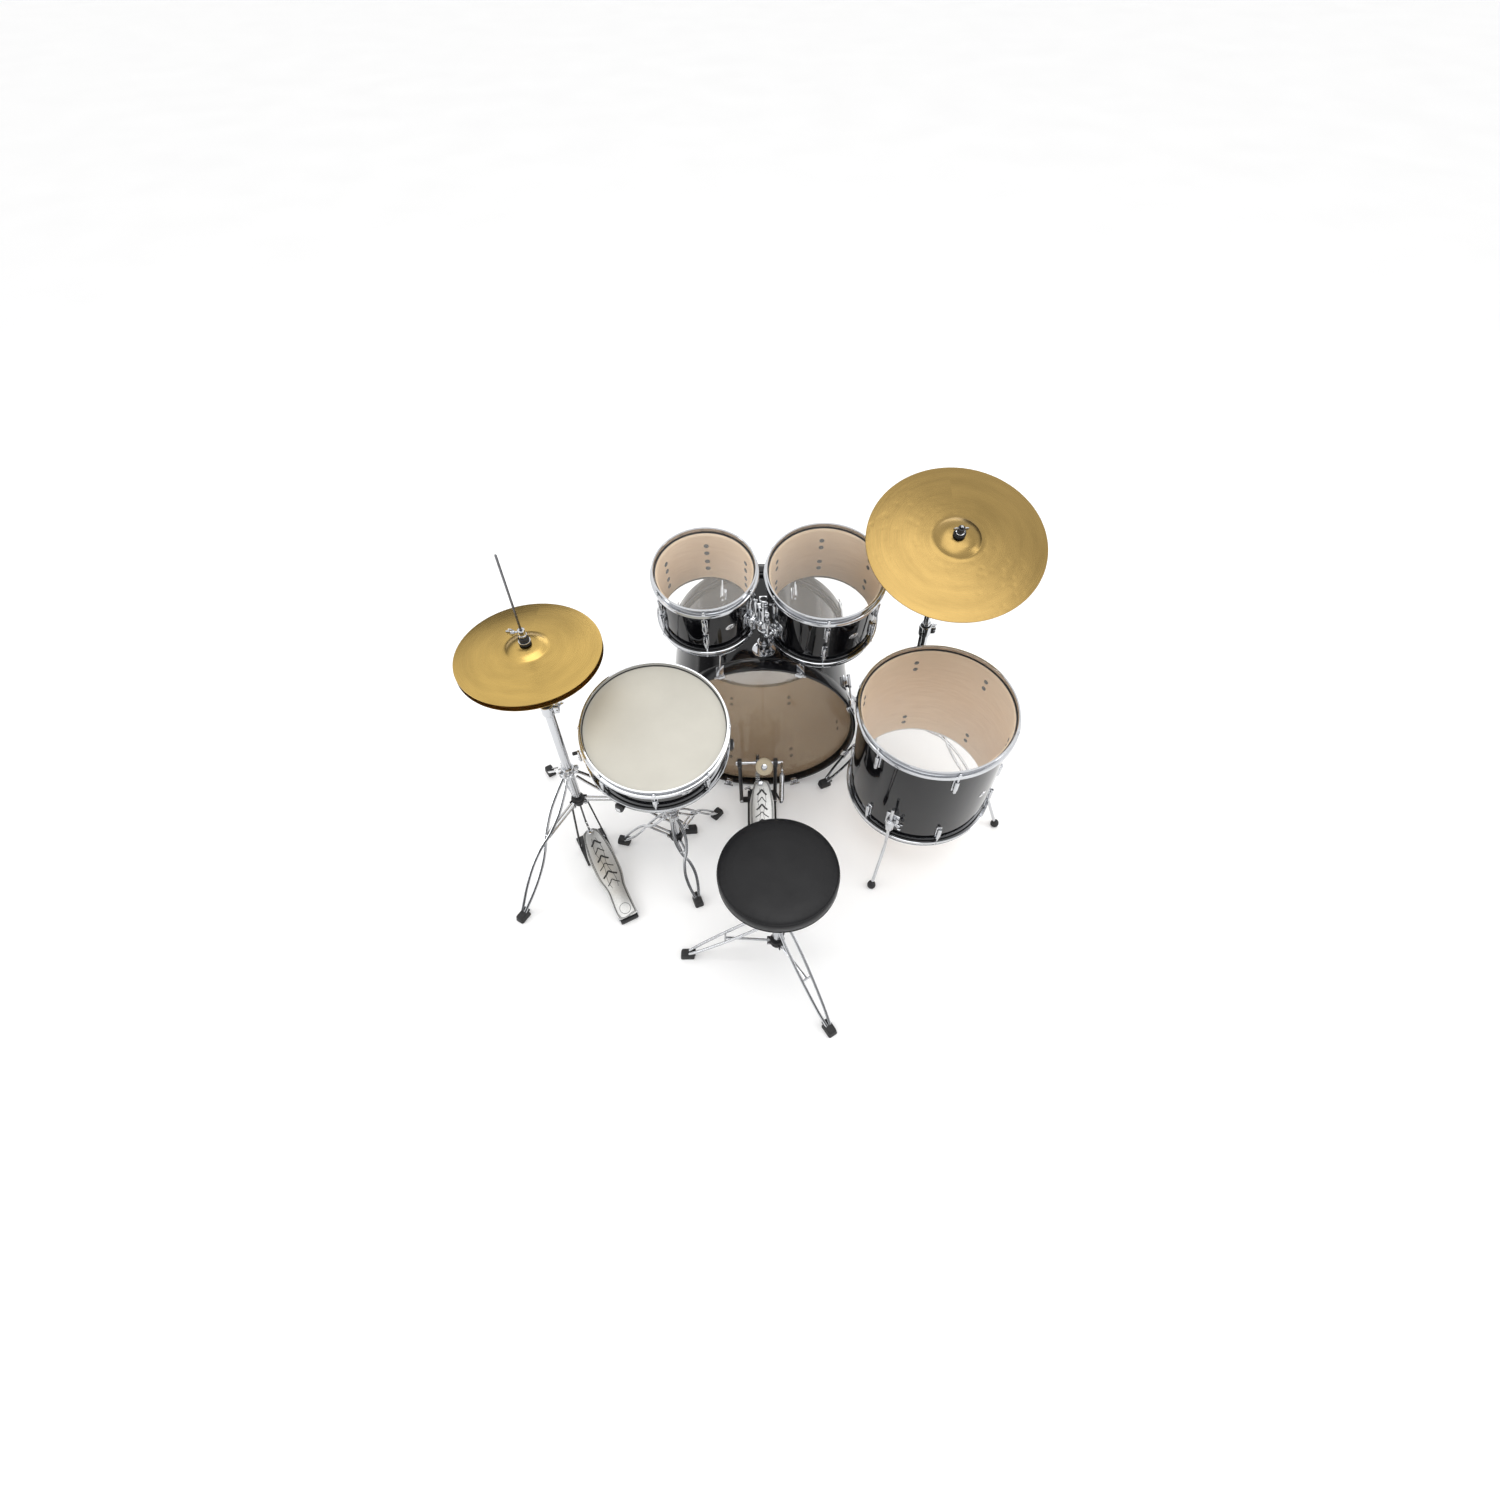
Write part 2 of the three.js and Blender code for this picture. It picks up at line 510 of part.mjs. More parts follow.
function addFloorTom() {
  const group = placed(FLOOR_TOM_RIM, FLOOR_TOM_FACING);
  const low = -FLOOR_TOM.height;
  const deep = LEG.out + LEG_CLAMP.over + SINK;
  const clampX = FLOOR_TOM.radius + deep / 2 - SINK;
  const clamps = LEG_ANGLES.map((angle) => {
    const clamp = block(deep, LEG_CLAMP.width, LEG_CLAMP.high, clampX, 0, low + LEG_CLAMP.up);
    const from = polar(angle, LEG_REACH, low + LEG.top);
    const to = polar(angle, LEG_REACH, low + LEG.knee);
    return cut(turnedAbout(clamp, angle), rod(from, to, LEG.radius + GAP, 8));
  });
  add(group, 'floor_tom_shell', join(shellShape(FLOOR_TOM, false), clamps), BLACK_LACQUER);
  addHoopsAndHeads(group, 'floor_tom', FLOOR_TOM, CLEAR_HEAD, CLEAR_HEAD);
  LEG_ANGLES.forEach((angle, i) => {
    const top = polar(angle, LEG_REACH, low + LEG.top).applyMatrix4(group.matrix);
    const clampEnd = polar(angle, LEG_REACH, low + LEG.knee).applyMatrix4(group.matrix);
    const knee = clampEnd.clone().lerp(top, -LEG.bend);
    const outward = polar(angle, LEG.splay, 0);
    const foot = new THREE.Vector3(clampEnd.x + outward.x, clampEnd.y + outward.y, LEG.foot);
    const shank = [rod(top, clampEnd, LEG.radius), bentRod([clampEnd, knee, foot], LEG.radius, 5)];
    const ball = disc(LEG.foot, 0, LEG.footHigh, 8).translate(foot.x, foot.y, 0);
    add(kit, `floor_tom_leg_${i + 1}`, [shank, ball], CHROME);
  });
}

// ---------------------------------------------------------------- stands

// Two straps to each foot, joined by a stay from the lower collar
function tripod(stand) {
  const height = (reach) => stand.collar + (STAND_FOOT.high / 2 - stand.collar) * (reach / stand.reach);
  const root = stand.tube + 5;
  const waist = stand.reach * STRAP.waist;
  const end = stand.reach * STRAP.end;
  const { long, wide, high } = STAND_FOOT;
  return stand.angles.flatMap((angle) => {
    const straps = [-1, 1].map((side) => {
      const from = new THREE.Vector3(root, side * STRAP.rootApart, height(root));
      const to = new THREE.Vector3(end, side * STRAP.footApart, height(end));
      return bar(from, to, STRAP.wide, STRAP.thick);
    });
    const stayFrom = new THREE.Vector3(root, 0, stand.stay);
    const stay = bar(stayFrom, new THREE.Vector3(waist, 0, height(waist)), STAY.wide, STAY.thick);
    const foot = block(long, wide, high, stand.reach - 4, 0, high / 2);
    return [...straps, stay, foot].map((shape) => turnedAbout(shape, angle));
  });
}

// A stand's lower tube with its leg collar, its stay collar and the clamp at its top, turned as one piece
function standTube(stand, top) {
  const { bore, tube, collar, stay } = stand;
  const { half, out, below } = COLLAR;
  const band = (z) => [[tube, z - half], [tube + out, z - half], [tube + out, z + half], [tube, z + half]];
  const low = stay - below;
  const profile = [
    [bore, low], [tube, low], ...band(stay), ...band(collar),
    [tube, top - 34], [tube + 6, top - 34], [tube + 6, top], [bore, top], [bore, low],
  ];
  const screw = block(SCREW.long, SCREW.thick, SCREW.high, tube + SCREW.out, 0, top - SCREW.below);
  return [turned(profile, TUBE_FACETS), screw];
}

function cymbalShape(cymbal, upsideDown = false) {
  const side = upsideDown ? -1 : 1;
  const rise = (radius) => cymbal.bow * (1 - (radius / cymbal.radius) ** 2);
  const shoulder = rise(cymbal.bell);
  const under = [
    [cymbal.radius, 0],
    [cymbal.bell, shoulder],
    [cymbal.bell * 0.72, shoulder + cymbal.bellHigh * 0.75],
    [cymbal.hole, shoulder + cymbal.bellHigh],
  ];
  const over = under.map(([radius, z]) => [radius, z + cymbal.thick]).reverse();
  return turned([...under, ...over, under[0]].map(([radius, z]) => [radius, side * z]));
}

function cymbalTop(cymbal) {
  return cymbal.bow * (1 - (cymbal.bell / cymbal.radius) ** 2) + cymbal.bellHigh + cymbal.thick;
}

// ---------------------------------------------------------------- hi-hat

function addHihat() {
  const stand = standingAt(HIHAT_PLACE);
  const seat = HIHAT.lowerEdge - cymbalTop(CYMBAL);
  add(stand, 'hihat_base', [standTube(HIHAT_STAND, HIHAT.tubeTop), tripod(HIHAT_STAND)], CHROME);
  add(stand, 'hihat_tube', [
    ring(HIHAT.bore, INNER_TUBE, HIHAT.tubeTop - 90, seat - 4, TUBE_FACETS),
    ring(HIHAT.bore, 22, seat - 8, seat - GAP, TUBE_FACETS),
  ], CHROME);
  add(stand, 'hihat_lower_cymbal', cymbalShape(CYMBAL, true).translate(0, 0, HIHAT.lowerEdge), BRASS);
  add(stand, 'hihat_upper_cymbal', cymbalShape(CYMBAL).translate(0, 0, HIHAT.upperEdge), BRASS);
  const rodLow = new THREE.Vector3(0, 0, HIHAT.rodBottom);
  const rodHigh = new THREE.Vector3(0, 0, HIHAT.rodTop);
  add(stand, 'hihat_pull_rod', rod(rodLow, rodHigh, PULL_ROD, 8), DARK_STEEL);
  const bellTop = HIHAT.upperEdge + cymbalTop(CYMBAL);
  const { bore, stem, felt, body } = CLUTCH;
  add(stand, 'hihat_clutch', [
    turned([
      [bore, bellTop - 15],
      [felt, bellTop - 15],
      [felt, bellTop - 4],
      [stem, bellTop - 4],
      [stem, bellTop + 1],
      [felt, bellTop + 1],
      [felt, bellTop + 16],
      [body, bellTop + 16],
      [body, bellTop + 44],
      [bore, bellTop + 44],
      [bore, bellTop - 15],
    ], TUBE_FACETS),
    block(30, 5, 14, -22, 0, bellTop + 34),
  ], CHROME);

  const pedal = standingAt(HIHAT_PLACE, HIHAT_PEDAL_TURN);
  const wide = HIHAT_PEDAL.plateWide;
  const cheek = wide / 2 - 3;
  add(pedal, 'hihat_pedal_frame', [
    block(wide, 118, 8, 0, -38, 4),
    block(22, 250, 5, 0, -205, 2.5),
    block(56, 34, HEEL_BLOCK.high, 0, HIHAT_PEDAL.heelY - HEEL_BLOCK.back, HEEL_BLOCK.high / 2),
    [-1, 1].map((side) => {
      const low = new THREE.Vector3(side * cheek, -20, 10);
      const high = new THREE.Vector3(side * (HIHAT_STAND.tube + 12), 0, HIHAT_STAND.stay - 30);
      return bar(low, high, 6, 12);
    }),
  ], BLACK_METAL);
  add(pedal, 'hihat_footboard', footboardShape(HIHAT_PEDAL, 23, 40, 29), GREY_METAL);
}

// A footboard from its heel to its toe, wider in the middle, as one thick plate with a hinge bar at the heel
function footboardShape(pedal, toeHalf, middleHalf, heelHalf) {
  const length = Math.hypot(pedal.toeY - pedal.heelY, pedal.toeZ - pedal.heelZ);
  const slope = Math.atan2(pedal.toeZ - pedal.heelZ, pedal.toeY - pedal.heelY);
  const outline = new THREE.Shape();
  outline.moveTo(-heelHalf, -8);
  outline.quadraticCurveTo(0, -18, heelHalf, -8);
  outline.lineTo(heelHalf, length * 0.28);
  outline.lineTo(middleHalf, length * 0.45);
  outline.lineTo(middleHalf, length * 0.72);
  outline.lineTo(toeHalf, length);
  outline.lineTo(-toeHalf, length);
  outline.lineTo(-middleHalf, length * 0.72);
  outline.lineTo(-middleHalf, length * 0.45);
  outline.lineTo(-heelHalf, length * 0.28);
  outline.closePath();
  const thickness = { depth: pedal.board, bevelEnabled: false, curveSegments: 3 };
  const plate = new THREE.ExtrudeGeometry(outline, thickness);
  const hinge = rod(new THREE.Vector3(-heelHalf, 0, 0), new THREE.Vector3(heelHalf, 0, 0), 5, 8);
  const shape = join(plate, hinge);
  return shape.rotateX(slope).translate(0, pedal.heelY, pedal.heelZ);
}

// ---------------------------------------------------------------- crash cymbal

function addCrash() {
  const stand = standingAt(CRASH_PLACE);
  const axis = placed(CRASH_EDGE, CRASH_FACING);
  const ear = new THREE.Vector3(0, 0, -CRASH.drop).applyMatrix4(axis.matrix).sub(stand.position);
  ear.add(new THREE.Vector3(0, 0, -29));
  add(stand, 'crash_base', [standTube(CRASH_STAND, CRASH.tubeTop), tripod(CRASH_STAND)], CHROME);
  add(stand, 'crash_tube', [
    disc(INNER_TUBE, CRASH.tubeTop - 120, CRASH.pivot - 14),
    disc(INNER_TUBE + 5, CRASH.pivot - 34, CRASH.pivot - 14),
    bar(new THREE.Vector3(0, 0, CRASH.pivot - 22), ear, 12, 12),
  ], CHROME);

  const seat = cymbalTop(CRASH_CYMBAL) - CRASH_CYMBAL.thick;
  add(axis, 'crash_tilter', [
    block(24, 18, 24, 0, 0, -CRASH.drop),
    disc(CRASH.pinRadius, -CRASH.drop, CRASH.pinTop + seat - 26, 8),
    disc(18, seat - 16, seat - 2.5),
  ], CHROME);
  add(axis, 'crash_cymbal', cymbalShape(CRASH_CYMBAL), BRASS);
  const above = seat + CRASH_CYMBAL.thick + 3 * GAP;
  add(axis, 'crash_wing_nut', [
    ring(CRASH.pinRadius + GAP, 16, above, above + 14, TUBE_FACETS),
    ring(CRASH.pinRadius + GAP, 9, above + 12, above + 28, TUBE_FACETS),
    block(14, 4, 16, 13, 0, above + 24),
    block(14, 4, 16, -13, 0, above + 24),
  ], BLACK_FELT);
}

// ---------------------------------------------------------------- snare drum and stand

function addSnare() {
  const stand = standingAt(SNARE_STAND_PLACE);
  add(stand, 'snare_stand_base', [standTube(SNARE_STAND, SNARE_BASE_TOP), tripod(SNARE_STAND)], CHROME);
  add(stand, 'snare_stand_tube', [
    disc(INNER_TUBE, SNARE_TUBE.low, SNARE_TUBE.top),
    disc(INNER_TUBE + 5, SNARE_TUBE.top - 26, SNARE_TUBE.top),
  ], CHROME);

  const group = placed(SNARE_RIM, SNARE_FACING);
  const low = -SNARE.height;
  const hub = low - BASKET.drop;
  const tipInner = SNARE.radius + HOOP.flange + GAP;
  const lipX = tipInner + (BASKET.tip - BASKET.lip) / 2;
  const arms = BASKET_ANGLES.map((angle) => [
    bar(new THREE.Vector3(0, 0, hub), new THREE.Vector3(tipInner, 0, low - BASKET.low), 12, 6),
    block(BASKET.lip + BASKET.tip, BASKET.wide, BASKET.thick, lipX, 0, low - BASKET.thick / 2 - GAP),
    block(BASKET.tip, BASKET.wide, 34, tipInner + BASKET.tip / 2, 0, low + BASKET.reachUp),
  ].map((shape) => turnedAbout(shape, angle)));
  add(group, 'snare_basket', [disc(BASKET.hub, hub - 14, hub + 10), arms], CHROME);

  const { angle, height } = STRAINER;
  const outTo = (deep) => SNARE.radius + deep / 2 - SINK;
  const onShell = ({ deep, wide, high }) => block(deep, wide, high, outTo(deep), 0, height);
  const strainer = turnedAbout(onShell(STRAINER), angle);
  const butt = turnedAbout(onShell(BUTT), angle - 180);
  add(group, 'snare_shell', join(shellShape(SNARE, true), strainer, butt), BLACK_LACQUER);
  addHoopsAndHeads(group, 'snare', SNARE, COATED_HEAD, CLEAR_HEAD);
  const leverX = SNARE.radius + STRAINER.deep - SINK + 2 * GAP + LEVER.thick / 2;
  const tabX = leverX + LEVER.thick;
  const lever = [
    block(LEVER.thick, LEVER.wide, LEVER.high, leverX, 0, height),
    block(LEVER.tabLong, LEVER.tabWide, LEVER.tabHigh, tabX, 0, height + LEVER.tabUp),
  ];
  add(group, 'snare_throw_lever', lever.map((shape) => turnedAbout(shape, angle)), GREY_METAL);
  const wireBed = low + HEAD.depth - GAP - WIRES.thick * 0.75;
  const bed = block(2 * SNARE.radius - WIRES.short, WIRES.wide, WIRES.thick, 0, 0, wireBed);
  add(group, 'snare_wires', turnedAbout(bed, angle), GREY_METAL);
}

// ---------------------------------------------------------------- bass drum pedal

function addBassPedal() {
  const pedal = new THREE.Group();
  kit.add(pedal);
  const { plateHalf, plateWide, plate, tongue, postLeft, postRight, postY, postWide, postDeep } = BASS_PEDAL;
  const { axleY, axleZ, heelY } = BASS_PEDAL;
  const axle = (x) => new THREE.Vector3(x, axleY, axleZ);
  const post = (x) => block(postWide, postDeep, axleZ - 12, x, postY, (axleZ - 12) / 2 + 2);
  const bearing = (x) => {
    const hole = rod(axle(x - 10), axle(x + 10), AXLE.radius + AXLE.play, 12);
    return cut(block(postWide + 2, 30, 34, x, axleY + 2, axleZ), hole);
  };
  add(pedal, 'bass_pedal_frame', [
    block(plateWide, 2 * plateHalf, plate, 0, 0, plate / 2),
    block(postRight - postLeft + postWide, postDeep, plate, (postLeft + postRight) / 2, postY, plate / 2),
    block(32, 34, tongue, 0, plateHalf + 12, tongue / 2),
    block(HEEL_BLOCK.wide, HEEL_BLOCK.deep, HEEL_BLOCK.high, 0, heelY - HEEL_BLOCK.back, HEEL_BLOCK.high / 2),
    [postLeft, postRight].map((x) => [post(x), bearing(x)]),
  ], BLACK_METAL);
  add(pedal, 'bass_footboard', footboardShape(BASS_PEDAL, 22, 39, 29), GREY_METAL);

  const lean = radians(BEATER.lean);
  const up = new THREE.Vector3(0, -Math.sin(lean), Math.cos(lean));
  const onShaft = (reach) => axle(BEATER.centreX).addScaledVector(up, reach);
  const { long, behind, out, wide, high } = ROCKER;
  add(pedal, 'bass_pedal_axle', [
    rod(axle(postLeft - 10), axle(postRight + 24), AXLE.radius, 12),
    disc(CAM.radius, -CAM.half, CAM.half, 16).rotateY(Math.PI / 2).translate(CAM.x, axleY, axleZ),
    block(HUB.wide, HUB.deep, HUB.deep, BEATER.centreX, axleY, axleZ),
    block(wide, long, high, postRight + out, axleY - long / 2 + behind, axleZ),
  ], DARK_STEEL);
  add(pedal, 'bass_beater', [
    rod(onShaft(BEATER.root), onShaft(BEATER.reach + 0.6 * BEATER.high), BEATER.shaft, 8),
    rod(onShaft(BEATER.reach - BEATER.high / 2), onShaft(BEATER.reach + BEATER.high / 2), BEATER.radius, 20),
  ], FELT);
  const { inner, outer, low, below, back } = SPRING;
  const coil = ring(inner, outer, low, axleZ - below, TUBE_FACETS);
  coil.translate(postRight + ROCKER.out, axleY - back, 0);
  add(pedal, 'bass_pedal_spring', coil, CHROME);
}

// ---------------------------------------------------------------- throne

function addThrone() {
  const stand = standingAt(THRONE_PLACE);
  add(stand, 'throne_base', [standTube(THRONE_STAND, THRONE.tubeTop + 40), tripod(THRONE_STAND)], CHROME);
  add(stand, 'throne_post', disc(THRONE_POST, 130, THRONE.panTop - 30), CHROME);
  const panLow = THRONE.panTop - 30 + GAP;
  add(stand, 'throne_seat_pan', [
    disc(28, panLow, THRONE.panTop - 4),
    disc(THRONE.panRadius, THRONE.panTop - 8, THRONE.panTop, 16),
  ], BLACK_METAL);
  const { seatRadius, seatTop } = THRONE;
  const low = THRONE.panTop + GAP;
  add(stand, 'throne_cushion', turned([
    [0, low],
    [seatRadius - 10, low],
    [seatRadius, low + 8],
    [seatRadius, seatTop - 12],
    [seatRadius - 6, seatTop - 3],
    [seatRadius - 40, seatTop],
    [0, seatTop],
  ]), VINYL);
}

addBassDrum();
addBassPedal();
addTomHolder();
addFloorTom();
addSnare();
addHihat();
addCrash();
addThrone();

export default kit;
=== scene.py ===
"""An acoustic drum kit: the look of each piece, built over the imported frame.

Parts are shaped in millimetres in a frame of their own and set down in metres.
A drum's own frame has +Z along its axis with z = 0 at the top rim, and a stand's
own frame stands on the floor under its tube.
"""

import json
import math

import bmesh
import bpy
import numpy as np
from mathutils import Matrix, Vector

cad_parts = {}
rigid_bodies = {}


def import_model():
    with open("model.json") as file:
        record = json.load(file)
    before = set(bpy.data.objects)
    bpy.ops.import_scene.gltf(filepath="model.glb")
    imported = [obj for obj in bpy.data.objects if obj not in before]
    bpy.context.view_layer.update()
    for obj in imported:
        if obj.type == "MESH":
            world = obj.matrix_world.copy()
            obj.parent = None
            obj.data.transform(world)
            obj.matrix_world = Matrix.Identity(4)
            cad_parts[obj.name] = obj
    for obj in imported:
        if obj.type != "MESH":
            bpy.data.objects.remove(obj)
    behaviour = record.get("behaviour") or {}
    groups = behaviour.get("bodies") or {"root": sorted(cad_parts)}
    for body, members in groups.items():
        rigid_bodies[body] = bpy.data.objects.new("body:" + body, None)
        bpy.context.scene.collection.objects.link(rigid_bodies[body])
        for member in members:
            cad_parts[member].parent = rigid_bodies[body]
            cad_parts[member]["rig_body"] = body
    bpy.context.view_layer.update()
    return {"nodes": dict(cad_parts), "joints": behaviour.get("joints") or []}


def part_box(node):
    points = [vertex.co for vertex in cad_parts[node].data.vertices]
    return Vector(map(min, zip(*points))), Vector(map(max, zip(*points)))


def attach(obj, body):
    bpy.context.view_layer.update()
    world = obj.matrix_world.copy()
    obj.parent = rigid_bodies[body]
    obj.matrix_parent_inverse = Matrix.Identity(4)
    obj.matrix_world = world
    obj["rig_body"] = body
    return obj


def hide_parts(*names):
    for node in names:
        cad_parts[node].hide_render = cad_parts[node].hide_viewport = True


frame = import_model()

MM = Matrix.Scale(0.001, 4)
HERE = Matrix.Identity(4)
BENCH = MM.inverted()  # where a group of parts is put together in millimetres

# ------------------------------------------------------------------ sizes, in millimetres

RACK_TOM_SMALL = dict(radius=127, height=203, wall=6, lugs=6, first_lug=-90)
RACK_TOM_LARGE = dict(radius=152, height=230, wall=6, lugs=6, first_lug=-90)
FLOOR_TOM = dict(radius=203, height=400, wall=6, lugs=6, first_lug=-83)
SNARE_DRUM = dict(radius=177.8, height=130, wall=6, lugs=8, first_lug=-88)
HEAD_DEPTH = 12
ROD_REACH = 8
LUG_HIGH, LUG_DEEP, LUG_WIDE = 50, 15, 14
LUG_MIDDLE = 46 + LUG_HIGH / 2
BASS_RADIUS, BASS_DEPTH, BASS_WALL = 279.4, 406, 7
BASS_LUG_ANGLES = [22.5 + 45 * step for step in range(8)]
HOLDER_TOP, HOLDER_BASE, HOLDER_RADIUS = 766, 591, 12.7
SMALL_TOM_BRACKET = dict(angle=-32, height=-120, clamp=(-12, 756))
LARGE_TOM_BRACKET = dict(angle=215, height=-140, clamp=(8, 738))
FLOOR_LEG_ANGLES = [-121, -4, 118]
FLOOR_LEG = dict(reach=221, top=-215, knee=-395, splay=58, radius=5)
HIHAT_STAND = dict(collar=365, stay=222, reach=330, angles=[-121, 123, 4], tube=13)
SNARE_STAND = dict(collar=235, stay=105, reach=190, angles=[166, 51, -69], tube=13)
CRASH_STAND = dict(collar=335, stay=190, reach=300, angles=[85, -35, -155], tube=13)
THRONE_STAND = dict(collar=245, stay=95, reach=262, angles=[180, -58, 61], tube=14)
HIHAT_PEDAL_TURN = 27.9
BASKET_ANGLES = [-117, 3, 123]
STRAINER_ANGLE = 197
HAT = dict(radius=178, bow=15, bell=52, bell_high=12, thick=1.6, hole=7)
CRASH = dict(radius=228, bow=17, bell=62, bell_high=15, thick=1.6, hole=7)


# ------------------------------------------------------------------ finishes

def shader_of(material):
    return material.node_tree.nodes["Principled BSDF"]


def finish(name, colour, roughness, metallic=0.0, **more):
    """A finish and its shader, with constants set on the shader's own sockets."""
    material = bpy.data.materials.new(name)
    material.use_nodes = True
    shader = shader_of(material)
    shader.inputs["Base Color"].default_value = (*colour, 1)
    shader.inputs["Roughness"].default_value = roughness
    shader.inputs["Metallic"].default_value = metallic
    for socket, value in more.items():
        shader.inputs[socket.replace("_", " ")].default_value = value
    return material


def node(material, kind, **settings):
    made = material.node_tree.nodes.new(kind)
    for name, value in settings.items():
        setattr(made, name, value)
    return made


def wire(material, source, target):
    material.node_tree.links.new(source, target)


def place_of(material, stretch=(1, 1, 1), source="Object"):
    """Texture coordinates for a pattern, stretched on the piece."""
    coordinates = node(material, "ShaderNodeTexCoord")
    mapping = node(material, "ShaderNodeMapping")
    mapping.inputs["Scale"].default_value = stretch
    wire(material, coordinates.outputs[source], mapping.inputs["Vector"])
    return mapping.outputs["Vector"]


def noise(material, where, scale, detail=3.0, roughness=0.5):
    made = node(material, "ShaderNodeTexNoise")
    made.inputs["Scale"].default_value = scale
    made.inputs["Detail"].default_value = detail
    made.inputs["Roughness"].default_value = roughness
    wire(material, where, made.inputs["Vector"])
    return made.outputs["Fac"]


def fill_ramp(ramp, stops):
    """A colour, or a grey level, at each stop of a colour ramp."""
    while len(ramp.color_ramp.elements) < len(stops):
        ramp.color_ramp.elements.new(0.5)
    for element, (position, colour) in zip(ramp.color_ramp.elements, stops):
        element.position = position
        element.color = (*colour, 1) if hasattr(colour, "__len__") else (colour, colour, colour, 1)


def graded(material, value, stops, socket):
    """A value read through a colour ramp into one of the shader's sockets."""
    ramp = node(material, "ShaderNodeValToRGB")
    fill_ramp(ramp, stops)
    wire(material, value, ramp.inputs["Fac"])
    wire(material, ramp.outputs["Color"], shader_of(material).inputs[socket])


def bumped(material, value, strength, distance):
    bump = node(material, "ShaderNodeBump")
    bump.inputs["Strength"].default_value = strength
    bump.inputs["Distance"].default_value = distance
    wire(material, value, bump.inputs["Height"])
    wire(material, bump.outputs["Normal"], shader_of(material).inputs["Normal"])


def plating():
    made = finish("chrome", (0.56, 0.57, 0.59), 0.10, 1.0)
    smears = noise(made, place_of(made), 14, 4)
    graded(made, smears, [(0.3, 0.06), (0.75, 0.15)], "Roughness")
    return made


def shell_lacquer():
    made = finish("black_lacquer", (0.003, 0.003, 0.004), 0.05, Specular_IOR_Level=0.36)
    ripple = noise(made, place_of(made), 30, 2)
    bumped(made, ripple, 0.03, 0.002)
    return made


def hoop_lacquer():
    made = finish("hoop_lacquer", (0.004, 0.004, 0.005), 0.12, Specular_IOR_Level=0.42)
    grain = noise(made, place_of(made, (1, 6, 1)), 60, 3)
    bumped(made, grain, 0.05, 0.001)
    return made


def shell_wood():
    made = finish("shell_wood", (0.76, 0.60, 0.43), 0.5)
    grain = noise(made, place_of(made, (2, 2, 26)), 9, 6, 0.62)
    stops = [(0.25, (0.68, 0.51, 0.35)), (0.55, (0.77, 0.605, 0.43)), (0.8, (0.83, 0.67, 0.50))]
    graded(made, grain, stops, "Base Color")
    bumped(made, grain, 0.12, 0.001)
    return made


def film(name, colour, alpha, roughness, mottle):
    made = finish(name, colour, roughness, Alpha=alpha)
    haze = noise(made, place_of(made), 22, 4)
    low = tuple(channel * (1 - mottle) for channel in colour)
    high = tuple(min(1, channel * (1 + mottle)) for channel in colour)
    graded(made, haze, [(0.35, low), (0.7, high)], "Base Color")
    return made


def coated_film():
    made = finish("coated_head", (0.44, 0.42, 0.37), 0.42)
    cloud = noise(made, place_of(made), 7, 5, 0.6)
    graded(made, cloud, [(0.3, (0.50, 0.48, 0.42)), (0.72, (0.55, 0.53, 0.465))], "Base Color")
    spray = noise(made, place_of(made), 1500, 2)
    bumped(made, spray, 0.12, 0.0004)
    return made


def lathed_brass(name, colour, dents):
    made = finish(name, colour, 0.24, 1.0, Anisotropic=0.6)
    way = node(made, "ShaderNodeTangent", direction_type="UV_MAP", uv_map="UVMap")
    wire(made, way.outputs["Tangent"], shader_of(made).inputs["Tangent"])
    rings = noise(made, place_of(made, (0.8, 900, 1), source="UV"), 1.0, 2)
    graded(made, rings, [(0.3, 0.19), (0.7, 0.33)], "Roughness")
    tarnish = noise(made, place_of(made, (3, 14, 1), source="UV"), 2.2, 4)
    dull = tuple(channel * 0.80 for channel in colour)
    graded(made, tarnish, [(0.3, dull), (0.72, colour)], "Base Color")
    height = rings
    if dents:
        pits = node(made, "ShaderNodeTexVoronoi", feature="SMOOTH_F1")
        pits.inputs["Scale"].default_value = 44
        wire(made, place_of(made), pits.inputs["Vector"])
        both = node(made, "ShaderNodeMath", operation="MULTIPLY_ADD")
        both.inputs[1].default_value = 0.20
        edge = node(made, "ShaderNodeMapRange")
        edge.inputs["From Max"].default_value = 0.42
        wire(made, pits.outputs["Distance"], edge.inputs["Value"])
        wire(made, rings, both.inputs[0])
        wire(made, edge.outputs["Result"], both.inputs[2])
        height = both.outputs["Value"]
    bumped(made, height, 0.30 if dents else 0.10, 0.0009 if dents else 0.0004)
    return made


def grained_vinyl():
    made = finish("vinyl", (0.006, 0.006, 0.007), 0.46, Specular_IOR_Level=0.26)
    grain = node(made, "ShaderNodeTexVoronoi", feature="DISTANCE_TO_EDGE")
    grain.inputs["Scale"].default_value = 520
    wire(made, place_of(made), grain.inputs["Vector"])
    bumped(made, grain.outputs["Distance"], 0.35, 0.0006)
    wear = noise(made, place_of(made), 16, 4)
    graded(made, wear, [(0.3, 0.34), (0.7, 0.52)], "Roughness")
    return made


def speckled(name, colour, roughness, scale, strength, metallic=0.0, spread=0.2):
    """A finish with a fine grain: moulded rubber, paint, felt or sanded metal."""
    made = finish(name, colour, roughness, metallic)
    grain = noise(made, place_of(made), scale, 4)
    bumped(made, grain, strength, 0.0005)
    low = tuple(channel * (1 - spread) for channel in colour)
    high = tuple(channel * (1 + spread) for channel in colour)
    graded(made, grain, [(0.3, low), (0.7, high)], "Base Color")
    return made


